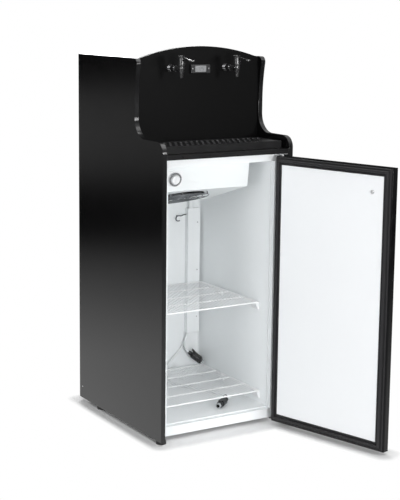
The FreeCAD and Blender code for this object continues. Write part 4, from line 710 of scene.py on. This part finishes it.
def latch(tip, ahead):
    """Verts and faces of the thumb latch, narrower along its top."""
    upward = (Vector((0, 0, 1)) - ahead * ahead.z).normalized()
    side = ahead.cross(upward)
    verts = []
    for sign in (-1, 1):
        for distance, height in LATCH_PROFILE:
            half = LATCH_TOP_HALF_WIDE if height > LATCH_TOP else LATCH_HALF_WIDE
            verts.append(tip + ahead * distance * MM + upward * height * MM + side * sign * half * MM)
    count = len(LATCH_PROFILE)
    faces = [tuple(range(count)), tuple(reversed(range(count, 2 * count)))]
    faces += [(n, n + count, (n + 1) % count + count, (n + 1) % count) for n in range(count)]
    return verts, faces


def coupler_trim(name, end, axis):
    """The clear nose, the ribbed collar, the hose sleeve and the thumb latch of a bag coupler."""
    ahead = Vector(axis).normalized()
    spot = Vector(from_design(end))
    tip = spot - ahead * (COUPLER_REACH * MM)
    place = along(tip, ahead)
    nose = piece(name + "_nose", *turned(in_metres(NOSE_PROFILE), place, 40), CLEAR, "cabinet")
    ring = piece(name + "_collar", *collar(place), MOULDED, "cabinet", 20)
    sleeve_mesh = turned(in_metres(SLEEVE_PROFILE), along(spot - ahead * SLEEVE_START * MM, ahead), 36)
    sleeve = piece(name + "_sleeve", *sleeve_mesh, MOULDED, "cabinet", 50)
    lever = piece(name + "_latch", *latch(tip, ahead), MOULDED, "cabinet", 30)


# Free hoses

HOSE_DIAMETER = 10 * MM


def hose(name, points, diameter, node):
    """A free hose as a smooth spline through the route that its solid follows."""
    data = bpy.data.curves.new(name, "CURVE")
    data.dimensions = "3D"
    data.bevel_depth = diameter / 2
    data.bevel_resolution = 5
    data.resolution_u = 10
    data.use_fill_caps = True
    spline = data.splines.new("NURBS")
    spline.points.add(len(points) - 1)
    for control, point in zip(spline.points, points):
        control.co = (*from_design(point), 1)
    spline.order_u = 3
    spline.use_endpoint_u = True
    data.materials.append(HOSE)
    made = bpy.data.objects.new(name, data)
    scene.collection.objects.link(made)
    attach(made, "cabinet")
    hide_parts(node)


# The routes' points, as (x, distance behind the cabinet's front, height) in millimetres
SHORT_ROUTE = [
    (189, 604.8, 303), (186.5, 604.7, 281), (179.5, 604.5, 261), (171, 603.4, 243.7), (164.6, 601.8, 228.2),
    (162.5, 600, 212.5), (165.7, 598, 197), (173.3, 594.9, 184.3), (183.4, 590.8, 175.6),
]
LONG_ROUTE = [
    (186, 616, 297), (184.5, 616, 271), (180.5, 615.8, 246), (171.5, 615.5, 222), (157, 614.8, 200),
    (138.5, 614, 181), (118, 613, 164), (99, 611.5, 148), (84, 609.5, 131), (73.5, 606.1, 113.2),
    (67.5, 601.1, 96.2), (65.5, 591.4, 83.5), (64.5, 578.7, 73.8), (64, 563.9, 67.7), (64, 548, 65.6),
    (68.5, 520, 65.6), (76, 491, 65.6), (87.5, 459, 65.6), (103, 428, 65.6), (120, 397, 65.6),
    (135, 364, 65.6), (147, 333, 65.6), (157, 303, 65.6), (164, 275, 65.6), (166, 250, 66),
    (164.5, 230, 69.5), (158, 212, 75), (146, 197, 80), (130.5, 185.5, 82.4), (115.1, 176.4, 80.4),
]


# Room and light

FLOOR_SIZE = 40
FLOOR_TONE = 0.9
FLOOR_ROUGH = 0.7

# The floor keeps its shade up to SHADE_NEAR from the object and is white to the eye from SHADE_FAR on
SHADE_NEAR = 22 * MM
SHADE_FAR = 62 * MM

# The floor glows for mirrored rays only: painted reflections, bright near the cabinet and dark beyond, that
# the black panels show.
# Tones that mirrored rays find on the floor, by the share of MIRRORED_REACH from the cabinet
MIRRORED_REACH = 12.0
MIRRORED_FLOOR = (
    (0.0, 1.0), (0.1, 0.85), (0.2, 0.5), (0.38, 0.01), (0.55, 0.008), (0.76, 0.2), (1.0, 0.24),
)
MIRRORED_GLOW = 1.0

# The world that mirrored rays see is dark below the first height of their direction and white over the
# second
DARK_HORIZON = 0.15
WHITE_CEILING = 0.7
AMBIENT = 0.28
AMBIENT_COLOUR = (0.97, 0.985, 1, 1)
WHITE = (1, 1, 1, 1)

# Name, place, point looked at, size and watts. The one to the right throws the taps' shadows on their
# board, and the one in front reaches through the open doorway.
LAMPS = (
    ("overhead", (0.3, -0.9, 3.4), (0, -0.2, 0), 2.4, 36),
    ("right", (1.85, -4.75, 1.82), (0, -0.13, 1.1), 0.8, 34),
    ("left", (-2.7, -3.9, 3.3), (0.1, -0.3, 0.7), 2.0, 28),
    ("front", (-0.75, -4.9, 1.15), (-0.05, 0, 0.75), 0.9, 84),
    ("side", (-4.0, -1.9, 1.2), (0.35, -0.6, 0.6), 1.4, 42),
    ("behind", (1.6, 4.4, 2.4), (0.1, 0.3, 0.8), 2.2, 130),
)


def blend_range(parts, links, source, low, high):
    """A smooth step from 0 to 1 between two values of a number."""
    ranged = parts.new("ShaderNodeMapRange")
    ranged.interpolation_type = "SMOOTHSTEP"
    ranged.inputs["From Min"].default_value = low
    ranged.inputs["From Max"].default_value = high
    links.new(source, ranged.inputs["Value"])
    return ranged.outputs["Result"]


def mixed(parts, links, share, first, second):
    """Two shaders mixed by a share."""
    mix = parts.new("ShaderNodeMixShader")
    links.new(share, mix.inputs["Fac"])
    links.new(first, mix.inputs[1])
    links.new(second, mix.inputs[2])
    return mix.outputs["Shader"]


def math_node(parts, links, operation, first, second):
    """Two numbers combined."""
    combined = parts.new("ShaderNodeMath")
    combined.operation = operation
    links.new(first, combined.inputs[0])
    links.new(second, combined.inputs[1])
    return combined.outputs["Value"]


def outside(parts, links, source, centre, half, angle):
    """The distance of a floor point from a turned rectangle."""
    moved = parts.new("ShaderNodeVectorMath")
    moved.operation = "SUBTRACT"
    moved.inputs[1].default_value = centre
    links.new(source, moved.inputs[0])
    turned_back = parts.new("ShaderNodeVectorRotate")
    turned_back.rotation_type = "Z_AXIS"
    turned_back.inputs["Angle"].default_value = -angle
    links.new(moved.outputs["Vector"], turned_back.inputs["Vector"])
    size = parts.new("ShaderNodeVectorMath")
    size.operation = "ABSOLUTE"
    links.new(turned_back.outputs["Vector"], size.inputs[0])
    beyond = parts.new("ShaderNodeVectorMath")
    beyond.operation = "SUBTRACT"
    beyond.inputs[1].default_value = half
    links.new(size.outputs["Vector"], beyond.inputs[0])
    positive = parts.new("ShaderNodeVectorMath")
    positive.operation = "MAXIMUM"
    positive.inputs[1].default_value = (0, 0, 0)
    links.new(beyond.outputs["Vector"], positive.inputs[0])
    length = parts.new("ShaderNodeVectorMath")
    length.operation = "LENGTH"
    links.new(positive.outputs["Vector"], length.inputs[0])
    return length.outputs["Value"]


def footprints():
    """Centre, half size and turn of the floor under the cabinet and under the open door.

    Their half height of 1 m keeps heights out of the distance.
    """
    low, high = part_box("side_panel_left")
    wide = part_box("side_panel_right")[1].x
    cabinet = (Vector((0, (low.y + high.y) / 2, 0)), Vector((wide, (high.y - low.y) / 2, 1)), 0.0)
    low, high = shut_box("door_slab")
    middle = door_swing @ ((low + high) / 2)
    middle.z = 0
    half = (high - low) / 2
    half.z = 1
    return cabinet, (middle, half, door_swing.to_euler().z)


def near_shade(parts, links, spot, plain):
    """The plain floor near the object, and white to the camera away from it."""
    white = parts.new("ShaderNodeEmission")
    white.inputs["Color"].default_value = WHITE
    gaps = [outside(parts, links, spot, *footprint) for footprint in footprints()]
    away = blend_range(parts, links, math_node(parts, links, "MINIMUM", *gaps), SHADE_NEAR, SHADE_FAR)
    path = parts.new("ShaderNodeLightPath")
    seen = math_node(parts, links, "MULTIPLY", away, path.outputs["Is Camera Ray"])
    return mixed(parts, links, seen, plain, white.outputs["Emission"])


def painted_floor_reflection(parts, links, spot):
    """A glow of the floor that only mirrored rays see, toned by the distance from the cabinet: painted
    reflections for the black panels.
    """
    distance = parts.new("ShaderNodeVectorMath")
    distance.operation = "LENGTH"
    links.new(spot, distance.inputs[0])
    reach = parts.new("ShaderNodeMapRange")
    reach.inputs["From Max"].default_value = MIRRORED_REACH
    links.new(distance.outputs["Value"], reach.inputs["Value"])
    ramp = parts.new("ShaderNodeValToRGB")
    steps = ramp.color_ramp.elements
    while len(steps) < len(MIRRORED_FLOOR):
        steps.new(0.5)
    for step, (place, tone) in zip(steps, MIRRORED_FLOOR):
        step.position = place
        step.color = (tone, tone, tone, 1)
    links.new(reach.outputs["Result"], ramp.inputs["Fac"])
    glow = parts.new("ShaderNodeEmission")
    glow.inputs["Strength"].default_value = MIRRORED_GLOW
    links.new(ramp.outputs["Color"], glow.inputs["Color"])
    return glow.outputs["Emission"]


def white_floor():
    """A pale floor that keeps the shade close to the object and is white to the eye beyond."""
    bpy.ops.mesh.primitive_plane_add(size=FLOOR_SIZE, location=(0, 0, 0))
    floor = bpy.context.object
    floor.name = "floor"
    made, parts, links, shader = principled("floor_white")
    shader.inputs["Base Color"].default_value = (FLOOR_TONE, FLOOR_TONE, FLOOR_TONE, 1)
    shader.inputs["Roughness"].default_value = FLOOR_ROUGH
    spot = parts.new("ShaderNodeTexCoord").outputs["Object"]
    lit = near_shade(parts, links, spot, shader.outputs["BSDF"])
    mirrored = parts.new("ShaderNodeLightPath").outputs["Is Glossy Ray"]
    links.new(mixed(parts, links, mirrored, lit, painted_floor_reflection(parts, links, spot)),
              parts["Material Output"].inputs["Surface"])
    floor.data.materials.append(made)


def surround():
    """A world that is white to the eye, dark near the horizon in mirrors, and else an even soft light."""
    world = bpy.data.worlds.new("studio")
    scene.world = world
    world.use_nodes = True
    parts = world.node_tree.nodes
    links = world.node_tree.links
    path = parts.new("ShaderNodeLightPath")
    soft = parts["Background"]
    soft.inputs["Color"].default_value = AMBIENT_COLOUR
    soft.inputs["Strength"].default_value = AMBIENT
    white = parts.new("ShaderNodeBackground")
    white.inputs["Color"].default_value = WHITE
    direct = math_node(parts, links, "MAXIMUM", path.outputs["Is Camera Ray"],
                       path.outputs["Is Transmission Ray"])
    split = parts.new("ShaderNodeSeparateXYZ")
    links.new(parts.new("ShaderNodeTexCoord").outputs["Generated"], split.inputs["Vector"])
    overhead = blend_range(parts, links, split.outputs["Z"], DARK_HORIZON, WHITE_CEILING)
    mirror = parts.new("ShaderNodeBackground")
    links.new(overhead, mirror.inputs["Strength"])
    mirror.inputs["Color"].default_value = WHITE
    reflected = mixed(parts, links, path.outputs["Is Glossy Ray"], soft.outputs["Background"],
                      mirror.outputs["Background"])
    links.new(mixed(parts, links, direct, reflected, white.outputs["Background"]),
              parts["World Output"].inputs["Surface"])


def lamps():
    """Soft square lamps, each looking at a point."""
    for name, spot, target, size, watts in LAMPS:
        data = bpy.data.lights.new(name, "AREA")
        data.size = size
        data.energy = watts
        made = bpy.data.objects.new(name, data)
        made.location = spot
        made.rotation_euler = (Vector(target) - Vector(spot)).to_track_quat("-Z", "Y").to_euler()
        scene.collection.objects.link(made)


camera()
white_floor()
surround()
lamps()
dress_nodes()
door_gasket()
small_screws()
cover_screws()
panel_cap()
dial_scale()
display()
tray_pan()
coupler_trim("coupler_shelf", SHORT_ROUTE[-1], SHELF_COUPLER_AXIS)
coupler_trim("coupler_floor", LONG_ROUTE[-1], FLOOR_COUPLER_AXIS)
hose("hose_short_line", SHORT_ROUTE, HOSE_DIAMETER, "hose_short")
hose("hose_long_line", LONG_ROUTE, HOSE_DIAMETER, "hose_long")

scene.view_settings.view_transform = "Standard"
